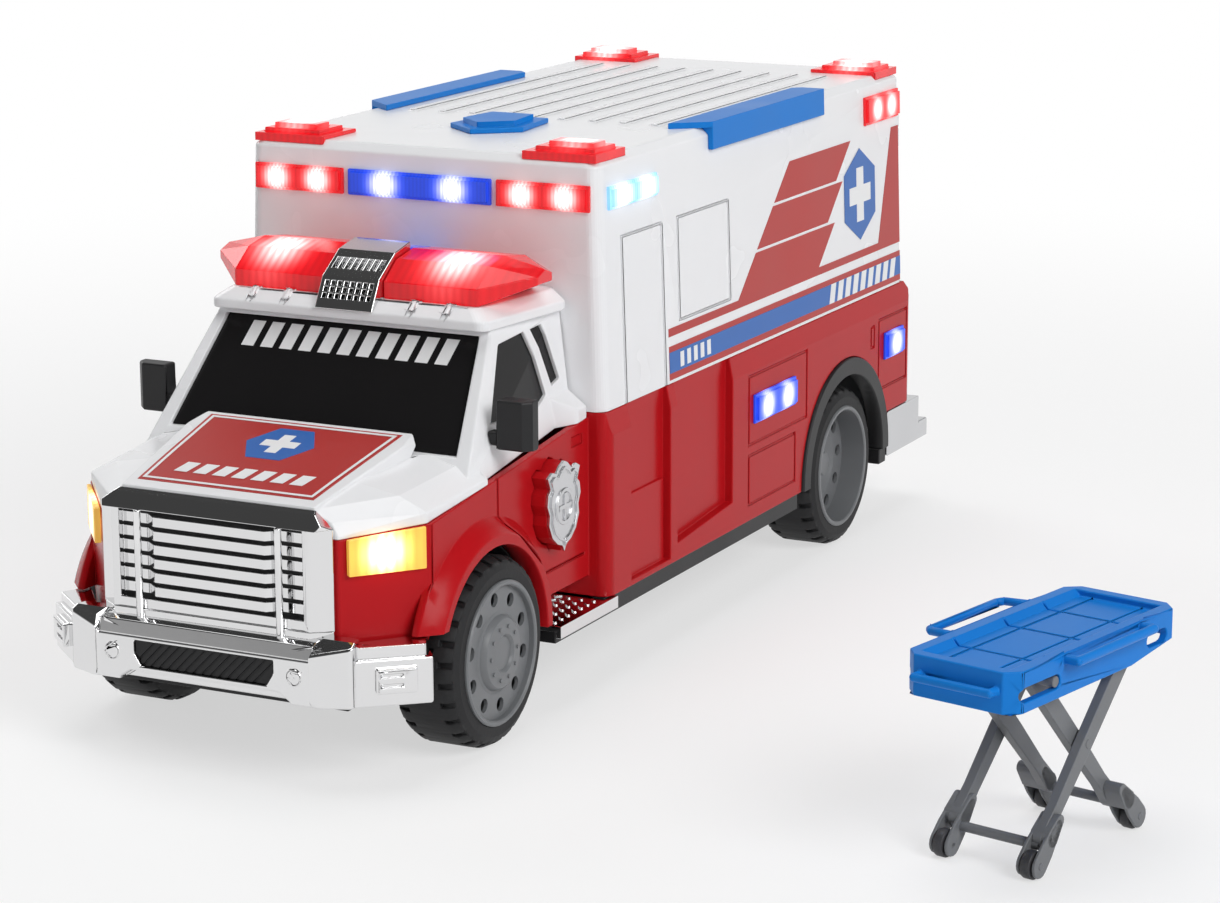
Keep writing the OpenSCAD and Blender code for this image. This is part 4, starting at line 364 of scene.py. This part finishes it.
# Mirrors: black moulded housings on short arms, plugged into the cab's sides.
# The same satin plastic as the chassis, with rounder edges.
dress(["mirror_left", "mirror_right"], satin_black, edge_mm=0.6, segments=3)

# Wheels: rubbery tyres with a matt skin on grey satin rims, each a barrel, a disc with holes and a hub.
# The front hubs stand out and carry nuts, the rear hubs are sunken. The rims are pressed on plain
# steel axles, and the hinge pins and screws are steel as well.
TYRE_BLACK = (0.016, 0.016, 0.017)
RIM_GREY = (0.18, 0.187, 0.195)
STEEL = (0.56, 0.56, 0.58)
RIM_DEEP = 15.0
RIM_WALL = 1.0
RIM_STEPS = 80
LIP_EASE = 0.35
AXLE_HOLE_R = 1.6
HOLE_COUNT = 10
HOLE_STEPS = 24
HOLE_R = 1.75
HOLE_RING = 13.5
NUT_RING = 6.7
NUT_R = 0.62
NUT_TAPER = 0.8
NUT_RISE = 2.35
NUT_STEPS = 12
FRONT_TURN = math.radians(23)
FRONT_FACE_SET = 1.7
FRONT_HUB = ((10.2, 0.0), (9.5, 0.35), (8.9, 1.5), (8.5, 1.8), (4.9, 2.1), (4.5, 1.8), (4.2, 1.3),
             (0.0, 1.6))
REAR_TURN = math.radians(5)
REAR_FACE_SET = 7.6
REAR_HUB = ((10.0, 0.0), (9.6, -0.3), (8.0, -1.9), (7.5, -2.2), (4.0, -2.2), (3.6, -1.9), (3.4, 1.6),
            (0.0, 1.9))
tyre_skin = moulded_finish("tyre_skin", TYRE_BLACK, rough=0.62, mottle=0.2, grain=1100.0, bump=0.3)
rim_satin = moulded_finish("grey_rim_plastic", RIM_GREY, rough=0.36, mottle=0.05, grain=1200.0, bump=0.06)
drawn_steel = moulded_finish("drawn_steel", STEEL, rough=0.28, mottle=0.06, grain=2200.0, bump=0.06,
                             metal=1.0, sheen=0.5)
dress(["tyres_front", "tyres_rear"], tyre_skin, edge_mm=0.25)
dress(["rims_front", "rims_rear"], rim_satin)
dress(["axle_front", "axle_rear", "hinge_pins", "screws"], drawn_steel)


def smooth_piece(piece):
    for face in piece.data.polygons:
        face.use_smooth = True
    piece.data.set_sharp_from_angle(angle=EDGE_ANGLE)


def spun_ring(bm, profile, closed):
    verts = [bm.verts.new((x * MM, r * MM, 0.0)) for r, x in profile]
    edges = [bm.edges.new(pair) for pair in zip(verts, verts[1:])]
    if closed:
        edges.append(bm.edges.new((verts[-1], verts[0])))
    bmesh.ops.spin(bm, geom=verts + edges, cent=(0.0, 0.0, 0.0), axis=(1.0, 0.0, 0.0), angle=math.tau,
                   steps=RIM_STEPS, use_merge=True)


def ring_edges(bm, place, radius, steps):
    circle = bmesh.ops.create_circle(bm, segments=steps, radius=radius * MM)["verts"]
    bmesh.ops.rotate(bm, verts=circle, matrix=Matrix.Rotation(math.pi / 2, 3, "Y"))
    bmesh.ops.translate(bm, verts=circle, vec=Vector(place) * MM)
    return list(dict.fromkeys(edge for vert in circle for edge in vert.link_edges))


def cone_along_x(bm, place, length, start_r, end_r, steps):
    lying = Matrix.Rotation(math.pi / 2, 4, "Y")
    cone = bmesh.ops.create_cone(bm, cap_ends=True, segments=steps, radius1=start_r * MM, radius2=end_r * MM,
                                 depth=length * MM, matrix=lying)["verts"]
    bmesh.ops.translate(bm, verts=cone, vec=Vector(place) * MM)


def add_mirrored(bm):
    twin = bmesh.ops.duplicate(bm, geom=bm.verts[:] + bm.edges[:] + bm.faces[:])["geom"]
    far_side = [item for item in twin if isinstance(item, bmesh.types.BMVert)]
    bmesh.ops.scale(bm, verts=far_side, vec=(-1.0, 1.0, 1.0))


def wheel_rims(name, node, body, face_set, hub, first_hole, nuts):
    low, high = (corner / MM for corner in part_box(node))
    face = high.x - face_set
    inner_x = high.x - RIM_DEEP
    back_x = inner_x + RIM_WALL
    outer_r = (high.z - low.z) / 2
    disc_r = outer_r - RIM_WALL
    lip_r = disc_r - LIP_EASE
    turns = [i * math.tau / HOLE_COUNT for i in range(HOLE_COUNT)]
    bm = bmesh.new()
    loops = []
    for radius in (disc_r, hub[0][0]):
        loops += ring_edges(bm, (face, 0.0, 0.0), radius, RIM_STEPS)
    for turn in turns:
        hole_y = HOLE_RING * math.cos(first_hole + turn)
        hole_z = HOLE_RING * math.sin(first_hole + turn)
        loops += ring_edges(bm, (face, hole_y, hole_z), HOLE_R, HOLE_STEPS)
    bmesh.ops.triangle_fill(bm, use_beauty=True, use_dissolve=False, edges=loops)
    extrude(bm, bm.faces[:], (-RIM_WALL, 0.0, 0.0))
    barrel = [(outer_r, inner_x), (outer_r, high.x - LIP_EASE), (outer_r - LIP_EASE, high.x),
              (disc_r, high.x), (lip_r, high.x - LIP_EASE), (lip_r, face - RIM_WALL),
              (disc_r, back_x), (AXLE_HOLE_R, back_x), (AXLE_HOLE_R, inner_x)]
    spun_ring(bm, barrel, closed=True)
    spun_ring(bm, [(r, face + rise) for r, rise in hub], closed=False)
    if nuts:
        for turn in turns:
            nut_place = (face, NUT_RING * math.cos(turn), NUT_RING * math.sin(turn))
            cone_along_x(bm, nut_place, 2 * NUT_RISE, NUT_R, NUT_R * NUT_TAPER, NUT_STEPS)
    bmesh.ops.remove_doubles(bm, verts=bm.verts, dist=WELD_MM * MM)
    add_mirrored(bm)
    middle = (low + high) / 2
    bmesh.ops.translate(bm, verts=bm.verts, vec=Vector((0.0, middle.y, middle.z)) * MM)
    rims = finish_piece(name, bm, rim_satin, body)
    smooth_piece(rims)
    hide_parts(node)


wheel_rims("front_rim_pair", "rims_front", "front_wheels", FRONT_FACE_SET, FRONT_HUB, FRONT_TURN, nuts=True)
wheel_rims("rear_rim_pair", "rims_rear", "rear_wheels", REAR_FACE_SET, REAR_HUB, REAR_TURN, nuts=False)

# Blue pieces: the trims over the roof edges and the piece behind the roof's front edge, pressed on.
# Satin plastic, moulded in colour, as the bed of the stretcher is.
BLUE = (0.008, 0.19, 0.62)
blue_satin = moulded_finish("blue_satin_plastic", BLUE, rough=0.36, mottle=0.05, grain=1200.0, sheen=0.12)
dress(["roof_trim_left", "roof_trim_right", "roof_piece"], blue_satin, edge_mm=0.35)
dress(["stretcher_bed"], blue_satin)

# Bed of the stretcher: the moulded bed, with a bent rail that stands out on the far side.
# The rail is a thin rod on two arms, moulded in one with the bed's side wall.
STRETCHER_PLACE = Vector((194.0, -123.0, 0.0)) * MM
STRETCHER_YAW = math.radians(-12.5)
BED_SIDE_X = -14.55
BED_EDGE = 0.4
RAIL_R = 0.95
RAIL_STEPS = 20
BEND_STEPS = 12
RAIL_FOOT_R = 1.2
RAIL_FOOT_SHARE = 0.12
RAIL_PATH = ((-14.2, -14.5, 48.9), (-20.6, -13.9, 48.6), (-21.7, -12.6, 48.5), (-22.1, 14.6, 48.5),
             (-21.0, 16.6, 48.6), (-14.2, 17.25, 48.9))
stretcher_turn = Matrix.Translation(STRETCHER_PLACE) @ Matrix.Rotation(STRETCHER_YAW, 4, "Z")


def rod_between(bm, start, end, radius):
    run = end - start
    turn = run.to_track_quat("Z", "Y").to_matrix().to_4x4()
    place = Matrix.Translation((start + end) / 2) @ turn
    bmesh.ops.create_cone(bm, cap_ends=True, segments=RAIL_STEPS, radius1=radius, radius2=radius,
                          depth=run.length, matrix=place)


bed_bm = bmesh.new()
bed_bm.from_mesh(node_of["stretcher_bed"].data)
bmesh.ops.remove_doubles(bed_bm, verts=bed_bm.verts, dist=WELD_MM * MM)
bmesh.ops.transform(bed_bm, matrix=stretcher_turn.inverted(), verts=bed_bm.verts)
old_rail = [v for v in bed_bm.verts if v.co.x < BED_SIDE_X * MM]
bmesh.ops.delete(bed_bm, geom=old_rail, context="VERTS")
moulded_faces = set(bed_bm.faces)
rail_points = [Vector(point) * MM for point in RAIL_PATH]
for start, end in zip(rail_points, rail_points[1:]):
    rod_between(bed_bm, start, end, RAIL_R * MM)
for bend in rail_points[1:-1]:
    bmesh.ops.create_uvsphere(bed_bm, u_segments=RAIL_STEPS, v_segments=BEND_STEPS, radius=RAIL_R * MM,
                              matrix=Matrix.Translation(bend))
for foot, beyond in ((rail_points[0], rail_points[1]), (rail_points[-1], rail_points[-2])):
    rod_between(bed_bm, foot, foot.lerp(beyond, RAIL_FOOT_SHARE), RAIL_FOOT_R * MM)
for face in bed_bm.faces:
    face.smooth = face not in moulded_faces
bmesh.ops.transform(bed_bm, matrix=stretcher_turn, verts=bed_bm.verts)
bed_piece = finish_piece("stretcher_bed_with_rail", bed_bm, blue_satin, "stretcher")
ease_edges(bed_piece, BED_EDGE)
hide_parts("stretcher_bed")

# Grey pieces: the floor of the box and the stretcher's leg frames and casters.
# Moulded in grey satin plastic, the casters darker.
GREY = (0.16, 0.166, 0.175)
DARK_GREY = (0.05, 0.05, 0.054)
grey_satin = moulded_finish("grey_satin_plastic", GREY, rough=0.38, mottle=0.06, bump=0.08)
dark_satin = moulded_finish("dark_grey_plastic", DARK_GREY, rough=0.45, mottle=0.08, bump=0.08)
dress(["module_floor"], grey_satin, edge_mm=0.3)
dress(["leg_frame_outer", "leg_frame_inner"], grey_satin)
dress(["casters_front", "casters_rear"], dark_satin, edge_mm=0.3)

# Leg frames of the stretcher: two pairs of flat legs that cross, each pair tied by a round bar.
# The legs taper towards the feet and end in forks that hold the casters on short pins.
PIVOT_REACH = 17.9
PIVOT_Z = 44.5
CASTER_REACH = 21.0
CASTER_Z = 3.2
FORK_X = 11.3
FORK_HW = 2.4
CHEEK_T = 0.8
LEG_T = 2.4
LEG_EDGE = 0.25
OUTER_LEG_X = 9.7
INNER_LEG_X = 6.9
BED_INSIDE_X = 12.5
SLOT_PIN_X = 14.3
LEG_WIDTHS = ((0.0, 2.3), (0.5, 2.15), (0.75, 1.75), (0.885, 2.2))
BRIDGE_WIDTHS = ((0.80, 1.5), (0.875, 2.3))
CHEEK_WIDTHS = ((0.82, 1.6), (0.93, 2.65), (1.0, 2.75))
ARC_STEPS = 8
ROD_STEPS = 24
TIE_SHARE = 0.915
TIE_R = 1.15
LEG_PIN_R = 1.3
CROSS_PIN_R = 1.1
CASTER_PIN_R = 0.9
PIN_PROUD = 0.2


def leg_plate(bm, top, foot, widths, x0, x1):
    run = foot - top
    along = run.normalized()
    side = Vector((-along.y, along.x))
    arc = [math.pi * i / ARC_STEPS for i in range(1, ARC_STEPS)]
    line = [(share * run.length, w) for share, w in widths]
    head_s, head_w = line[0]
    tail_s, tail_w = line[-1]
    outline = line + [(tail_s + tail_w * math.sin(a), tail_w * math.cos(a)) for a in arc]
    outline += [(s, -w) for s, w in reversed(line)]
    outline += [(head_s - head_w * math.sin(a), -head_w * math.cos(a)) for a in arc]
    corners = [top + along * s + side * w for s, w in outline]
    face = bm.faces.new([bm.verts.new(Vector((x0, p.x, p.y)) * MM) for p in corners])
    extrude(bm, [face], (x1 - x0, 0.0, 0.0))


def cross_rod(bm, place, x0, x1, radius):
    cone_along_x(bm, ((x0 + x1) / 2, place.x, place.y), x1 - x0, radius, radius, ROD_STEPS)


def leg_frame(name, node, body, way, leg_x, pin_end_x):
    top = Vector((way * PIVOT_REACH, PIVOT_Z))
    foot = Vector((-way * CASTER_REACH, CASTER_Z))
    cross = top.lerp(foot, PIVOT_REACH / (PIVOT_REACH + CASTER_REACH))
    fork_in = FORK_X - FORK_HW
    fork_out = FORK_X + FORK_HW
    bm = bmesh.new()
    leg_plate(bm, top, foot, LEG_WIDTHS, leg_x, leg_x + LEG_T)
    leg_plate(bm, top, foot, BRIDGE_WIDTHS, min(leg_x, fork_in), fork_out)
    leg_plate(bm, top, foot, CHEEK_WIDTHS, fork_in, fork_in + CHEEK_T)
    leg_plate(bm, top, foot, CHEEK_WIDTHS, fork_out - CHEEK_T, fork_out)
    cross_rod(bm, foot, fork_in, fork_out + PIN_PROUD, CASTER_PIN_R)
    cross_rod(bm, top, leg_x + LEG_T / 2, pin_end_x, LEG_PIN_R)
    if leg_x < OUTER_LEG_X:
        cross_rod(bm, cross, leg_x + LEG_T / 2, OUTER_LEG_X + LEG_T + PIN_PROUD, CROSS_PIN_R)
    add_mirrored(bm)
    cross_rod(bm, top.lerp(foot, TIE_SHARE), -FORK_X, FORK_X, TIE_R)
    bmesh.ops.transform(bm, matrix=stretcher_turn, verts=bm.verts)
    legs = finish_piece(name, bm, grey_satin, body)
    smooth_piece(legs)
    ease_edges(legs, LEG_EDGE)
    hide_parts(node)


leg_frame("outer_leg_frame", "leg_frame_outer", "outer_legs", 1.0, OUTER_LEG_X, BED_INSIDE_X)
leg_frame("inner_leg_frame", "leg_frame_inner", "inner_legs", -1.0, INNER_LEG_X, SLOT_PIN_X)

# Electrics: two cells in printed sleeves, the board, the speaker and the push switch behind the button.
# They sit inside the body, and little of them shows from outside.
SLEEVE_BLUE = (0.05, 0.16, 0.35)
BOARD_GREEN = (0.02, 0.15, 0.075)
cell_sleeve = moulded_finish("cell_sleeve", SLEEVE_BLUE, rough=0.25, mottle=0.05, grain=500.0, bump=0.02)
board_coat = moulded_finish("board_coat", BOARD_GREEN, rough=0.35, mottle=0.15, grain=420.0, bump=0.06)
dress(["battery_cells"], cell_sleeve, edge_mm=0.3)
dress(["circuit_board"], board_coat)
dress(["speaker", "button_switch"], dark_satin)

# Lamp lenses: clear coloured mouldings with small lamps lit behind them.
# Each lamp shows as a pale hot spot that fades into the colour, over fine moulded flutes.
LENS_RED = (0.74, 0.008, 0.014)
LENS_BLUE = (0.015, 0.07, 0.78)
LENS_SKY = (0.22, 0.52, 0.85)
LENS_AMBER = (0.90, 0.52, 0.08)
LENS_EDGE = 0.25
HOT_WHITE = (1.0, 0.97, 0.95, 1.0)
HOT_CORE = 2.2
FLUTE_SHADE = (0.55, 1.0)
MIDDLE = 0.5


def lamp_spots(node, shares):
    low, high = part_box(node)
    reach = Vector((high.x, high.y - low.y, high.z - low.z))
    return [Vector((reach.x * x, low.y + reach.y * y, low.z + reach.z * z)) for x, y, z in shares]


def lens_finish(name, colour, spots, reach_mm, power, flute_mm=1.1, glow=0.3, flute_axis="X"):
    finish = moulded_finish(name, colour, rough=0.14, mottle=0.05, grain=700.0, bump=0.02, sheen=0.4)
    tree = finish.node_tree
    shader = tree.nodes["Principled BSDF"]
    split = add_node(tree, "SeparateXYZ")
    tree.links.new(add_node(tree, "TexCoord").outputs["Object"], split.inputs["Vector"])
    near_side = add_node(tree, "CombineXYZ")
    tree.links.new(math_node(tree, "ABSOLUTE", split.outputs["X"], 0.0), near_side.inputs["X"])
    tree.links.new(split.outputs["Y"], near_side.inputs["Y"])
    tree.links.new(split.outputs["Z"], near_side.inputs["Z"])
    lit = 0.0
    for spot in spots:
        gap = add_node(tree, "VectorMath", operation="DISTANCE")
        gap.inputs[1].default_value = spot
        tree.links.new(near_side.outputs["Vector"], gap.inputs[0])
        fade = ramp_node(tree, gap.outputs["Value"], (0.0, reach_mm * MM), (1.0, 0.0), "SMOOTHERSTEP")
        lit = math_node(tree, "MAXIMUM", fade, lit)
    core = math_node(tree, "POWER", lit, HOT_CORE)
    tree.links.new(colour_mix(tree, core, colour + (1.0,), HOT_WHITE), shader.inputs["Emission Color"])
    half_flute = flute_mm * MM / 2
    wave = math_node(tree, "PINGPONG", split.outputs[flute_axis], half_flute)
    ridge = ramp_node(tree, wave, (0.0, half_flute), FLUTE_SHADE)
    bright = ramp_node(tree, lit, (0.0, 1.0), (glow, power))
    tree.links.new(math_node(tree, "MULTIPLY", bright, ridge), shader.inputs["Emission Strength"])
    return finish


def light_up(nodes, name, colour, shares, edge_mm=LENS_EDGE, **look):
    spots = lamp_spots(nodes[0], shares)
    dress(nodes, lens_finish(name, colour, spots, **look), edge_mm)


light_up(["bar_lenses"], "light_bar_red", LENS_RED, [(0.55, 0.35, 0.55)], edge_mm=0.5, reach_mm=17,
         power=2.6, flute_mm=2.2, glow=0.2)
light_up(["bar_centre_lens"], "light_bar_blue", LENS_BLUE, [(0.0, 0.6, 0.8)], edge_mm=0.4, reach_mm=8,
         power=0.6, flute_mm=1.4, glow=0.15)
light_up(["front_lenses_red"], "front_lamp_red", LENS_RED, [(0.61, MIDDLE, MIDDLE), (0.86, MIDDLE, MIDDLE)],
         reach_mm=8, power=2.4)
light_up(["front_lens_blue"], "front_lamp_blue", LENS_BLUE, [(0.48, MIDDLE, MIDDLE)], reach_mm=9, power=2.2)
light_up(["side_lenses"], "side_lamp_blue", LENS_SKY, [(1.0, 0.25, MIDDLE), (1.0, 0.75, MIDDLE)],
         reach_mm=12, power=1.6, flute_mm=1.2, glow=0.5, flute_axis="Y")
light_up(["rear_side_lenses"], "rear_side_lamp_red", LENS_RED, [(1.0, 0.3, MIDDLE), (1.0, 0.72, MIDDLE)],
         reach_mm=8, power=2.4, flute_axis="Y")
light_up(["skirt_lenses"], "skirt_lamp_blue", LENS_BLUE,
         [(1.0, 0.065, MIDDLE), (1.0, 0.19, MIDDLE), (1.0, 0.934, MIDDLE)],
         reach_mm=9, power=2.4, glow=0.35, flute_axis="Y")
light_up(["roof_corner_lenses"], "roof_lamp_red", LENS_RED, [(0.82, 0.05, MIDDLE), (0.82, 0.95, MIDDLE)],
         edge_mm=0.3, reach_mm=12, power=2.6, flute_mm=2.0, glow=0.25)
light_up(["tail_lamps"], "tail_lamp_red", LENS_RED, [(0.96, MIDDLE, MIDDLE)], reach_mm=5, power=0.8,
         flute_mm=1.0, glow=0.15)
light_up(["headlamp_left", "headlamp_right"], "headlamp_amber", LENS_AMBER, [(0.84, MIDDLE, MIDDLE)],
         edge_mm=0.3, reach_mm=11, power=3.0, flute_mm=1.6, glow=0.35)

# Side stickers: printed film in red, blue and white on both sides of the white box.
# Bands run along the foot, and a slanted panel rises behind them with a six-sided badge.
FILM_MM = 0.08
FILM_GAP_MM = 0.02
FILM_LOOK = {"rough": 0.34, "grain": 500.0, "bump": 0.015}
SIDE_LEAN = 2.0 / 62.4
STICKER_RED = (0.44, 0.022, 0.018)
STICKER_BLUE = (0.022, 0.13, 0.45)
STICKER_WHITE = (0.84, 0.845, 0.85)
FILM_FRONT_Y = -19.5
FILM_REAR_Y = 143.4
FOOT_BAND_Z = (72.4, 81.4)
BLUE_BAND_Z = (74.2, 79.8)
UPPER_LINE_Z = (84.0, 86.2)
PANEL_ROWS = ((86.2, 97.4), (98.2, 108.6), (109.4, 119.6))
PANEL_FRONT_Y = 25.0
PANEL_W = 56.0
PANEL_LEAN = 1.1
PANEL_TAPER = 0.5
REAR_PANEL_W = 17.0
REAR_PANEL_TOP_SHARE = 1 / 3
BADGE_Y = 112.5
BADGE_Z = 103.0
BADGE_R = 13.6
BADGE_SIDES = 6
PLUS_REACH = 8.0
PLUS_ARM = 2.6
DASHES = 9
DASH_FRONT_Y = 88.0
DASH_PITCH = 5.8
DASH_W = 3.6
DASH_LEAN = 0.3
MARKS = 5
MARK_FRONT_Y = -13.0
MARK_PITCH = 4.2
MARK_W = 2.2
MARK_EDGE = 0.8
film_red = moulded_finish("red_printed_film", STICKER_RED, **FILM_LOOK)
film_blue = moulded_finish("blue_printed_film", STICKER_BLUE, **FILM_LOOK)
film_white = moulded_finish("white_printed_film", STICKER_WHITE, mottle=0.01, **FILM_LOOK)
side_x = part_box("module_shell")[1].x / MM
side_z = belt_z / MM


def thicken(bm, way):
    extrude(bm, bm.faces[:], Vector(way) * FILM_MM)


def side_film(name, outlines, finish, layer):
    film_x = side_x + layer * FILM_MM + FILM_GAP_MM
    for side, turn in (("left", 1.0), ("right", -1.0)):
        bm = bmesh.new()
        for outline in outlines:
            places = [(film_x - SIDE_LEAN * (z - side_z), y, z) for y, z in outline]
            bm.faces.new([bm.verts.new(Vector(place) * MM) for place in places])
        thicken(bm, (1.0, 0.0, 0.0))
        bmesh.ops.scale(bm, verts=bm.verts, vec=(turn, 1.0, 1.0))
        finish_piece(f"{name}_{side}", bm, finish, "vehicle")


def band(y0, y1, z0, z1, lean=0.0):
    shift = lean * (z1 - z0)
    return [(y0, z0), (y1, z0), (y1 + shift, z1), (y0 + shift, z1)]


def band_row(first, pitch, count, width, span, lean=0.0):
    starts = [first + i * pitch for i in range(count)]
    return [band(start, start + width, *span, lean) for start in starts]


def ring_points(y, z, radius, count, turn=0.0):
    turns = [turn + i * math.tau / count for i in range(count)]
    return [(y + radius * math.cos(a), z + radius * math.sin(a)) for a in turns]


def plus_points(y, z, reach, arm):
    corner = [(arm, reach), (arm, arm), (reach, arm)]
    turns = [(1, 1, False), (1, -1, True), (-1, -1, False), (-1, 1, True)]
    points = []
    for a, b, back in turns:
        quarter = corner[::-1] if back else corner
        points += [(y + a * p, z + b * q) for p, q in quarter]
    return points


foot_z = PANEL_ROWS[0][0]
panel_top = PANEL_ROWS[-1][1]
red_rows = [band(FILM_FRONT_Y, FILM_REAR_Y, *span) for span in (FOOT_BAND_Z, UPPER_LINE_Z)]
for low_z, high_z in PANEL_ROWS:
    rise = low_z - foot_z
    row_y = PANEL_FRONT_Y + PANEL_LEAN * rise
    red_rows.append(band(row_y, row_y + PANEL_W - PANEL_TAPER * rise, low_z, high_z, PANEL_LEAN))
red_rows.append([(FILM_REAR_Y - REAR_PANEL_W, foot_z), (FILM_REAR_Y, foot_z), (FILM_REAR_Y, panel_top),
                 (FILM_REAR_Y - REAR_PANEL_W * REAR_PANEL_TOP_SHARE, panel_top)])
side_film("side_red_film", red_rows, film_red, layer=0)
badge = ring_points(BADGE_Y, BADGE_Z, BADGE_R, BADGE_SIDES, math.pi / BADGE_SIDES)
blue_band = band(FILM_FRONT_Y, FILM_REAR_Y, *BLUE_BAND_Z)
side_film("side_blue_film", [blue_band, badge], film_blue, layer=1)
mark_z = (BLUE_BAND_Z[0] + MARK_EDGE, BLUE_BAND_Z[1] - MARK_EDGE)
dashes = band_row(DASH_FRONT_Y, DASH_PITCH, DASHES, DASH_W, BLUE_BAND_Z, DASH_LEAN)
marks = band_row(MARK_FRONT_Y, MARK_PITCH, MARKS, MARK_W, mark_z)
plus = plus_points(BADGE_Y, BADGE_Z, PLUS_REACH, PLUS_ARM)
side_film("side_white_film", dashes + marks + [plus], film_white, layer=2)

# Bonnet sticker: a red film on the raised middle of the bonnet, with a thin white border.
# A blue badge sits in its middle and short slanted bars near the front edge.
BONNET_CUTS = 7
BONNET_FRONT = (24.6, -153.2)
BONNET_REAR = (27.4, -116.0)
BORDER_IN = 0.9
BORDER_W = 0.8
BONNET_BADGE_Y = -128.0
BONNET_BADGE_R = 9.6
BONNET_PLUS = 0.62
BAR_COUNT = 7
BAR_PITCH = 5.4
BAR_W = 3.6
BAR_Y = (-147.5, -142.5)
BAR_LEAN = 0.2
bonnet_surface = BVHTree.FromObject(node_of["cab_upper"], bpy.context.evaluated_depsgraph_get())


def bonnet_film(name, outlines, finish, layer):
    bm = bmesh.new()
    for outline in outlines:
        bm.faces.new([bm.verts.new(Vector((x, y, 0.0)) * MM) for x, y in outline])
    run = (BONNET_REAR[1] - BONNET_FRONT[1]) / BONNET_CUTS
    for cut in range(1, BONNET_CUTS):
        place = Vector((0.0, BONNET_FRONT[1] + cut * run, 0.0)) * MM
        whole = bm.verts[:] + bm.edges[:] + bm.faces[:]
        bmesh.ops.bisect_plane(bm, geom=whole, plane_co=place, plane_no=(0.0, 1.0, 0.0))
    for vert in bm.verts:
        above = Vector((vert.co.x, vert.co.y, cad_box[1].z))
        hit = bonnet_surface.ray_cast(above, Vector((0.0, 0.0, -1.0)))[0]
        vert.co.z = hit.z + (layer * FILM_MM + FILM_GAP_MM) * MM
    thicken(bm, (0.0, 0.0, 1.0))
    finish_piece(name, bm, finish, "vehicle")


def bonnet_edge(y, inset):
    share = (y - BONNET_FRONT[1]) / (BONNET_REAR[1] - BONNET_FRONT[1])
    return BONNET_FRONT[0] + share * (BONNET_REAR[0] - BONNET_FRONT[0]) - inset


def cross_strip(y0, y1, inset):
    return [(-bonnet_edge(y0, inset), y0), (bonnet_edge(y0, inset), y0), (bonnet_edge(y1, inset), y1),
            (-bonnet_edge(y1, inset), y1)]


def centred_row(pitch, count, width, span, lean):
    first = -pitch * (count - 1) / 2 - width / 2
    return band_row(first, pitch, count, width, span, lean)


front_line = BONNET_FRONT[1] + BORDER_IN
rear_line = BONNET_REAR[1] - BORDER_IN
border_ends = (front_line + BORDER_W, rear_line - BORDER_W)
border = [cross_strip(front_line, border_ends[0], BORDER_IN),
          cross_strip(border_ends[1], rear_line, BORDER_IN)]
for turn in (1, -1):
    outer = [(turn * bonnet_edge(y, BORDER_IN), y) for y in border_ends]
    inner = [(turn * bonnet_edge(y, BORDER_IN + BORDER_W), y) for y in reversed(border_ends)]
    border.append(outer + inner)
bonnet_bars = centred_row(BAR_PITCH, BAR_COUNT, BAR_W, BAR_Y, BAR_LEAN)
bonnet_plus = plus_points(0.0, BONNET_BADGE_Y, PLUS_REACH * BONNET_PLUS, PLUS_ARM * BONNET_PLUS)
bonnet_panel = cross_strip(BONNET_FRONT[1], BONNET_REAR[1], 0.0)
bonnet_badge = ring_points(0.0, BONNET_BADGE_Y, BONNET_BADGE_R, BADGE_SIDES)
bonnet_film("bonnet_red_film", [bonnet_panel], film_red, layer=0)
bonnet_film("bonnet_blue_film", [bonnet_badge], film_blue, layer=1)
bonnet_film("bonnet_white_film", border + bonnet_bars + [bonnet_plus], film_white, layer=2)

# Windscreen banner: a row of slanted white bars along the top of the black pane.
# Printed film, laid on the sloping glazing.
BANNER_Z = (89.4, 95.0)
BANNER_COUNT = 11
BANNER_PITCH = 5.6
BANNER_W = 3.6
BANNER_LEAN = 0.22
screen_surface = BVHTree.FromObject(node_of["cab_glazing"], bpy.context.evaluated_depsgraph_get())
banner_bm = bmesh.new()
for bar in centred_row(BANNER_PITCH, BANNER_COUNT, BANNER_W, BANNER_Z, BANNER_LEAN):
    banner_bm.faces.new([banner_bm.verts.new(Vector((x, 0.0, z)) * MM) for x, z in bar])
for vert in banner_bm.verts:
    ahead = Vector((vert.co.x, cad_box[0].y, vert.co.z))
    vert.co.y = screen_surface.ray_cast(ahead, Vector((0.0, 1.0, 0.0)))[0].y - FILM_GAP_MM * MM
thicken(banner_bm, (0.0, -1.0, 0.0))
finish_piece("screen_banner_film", banner_bm, film_white, "vehicle")
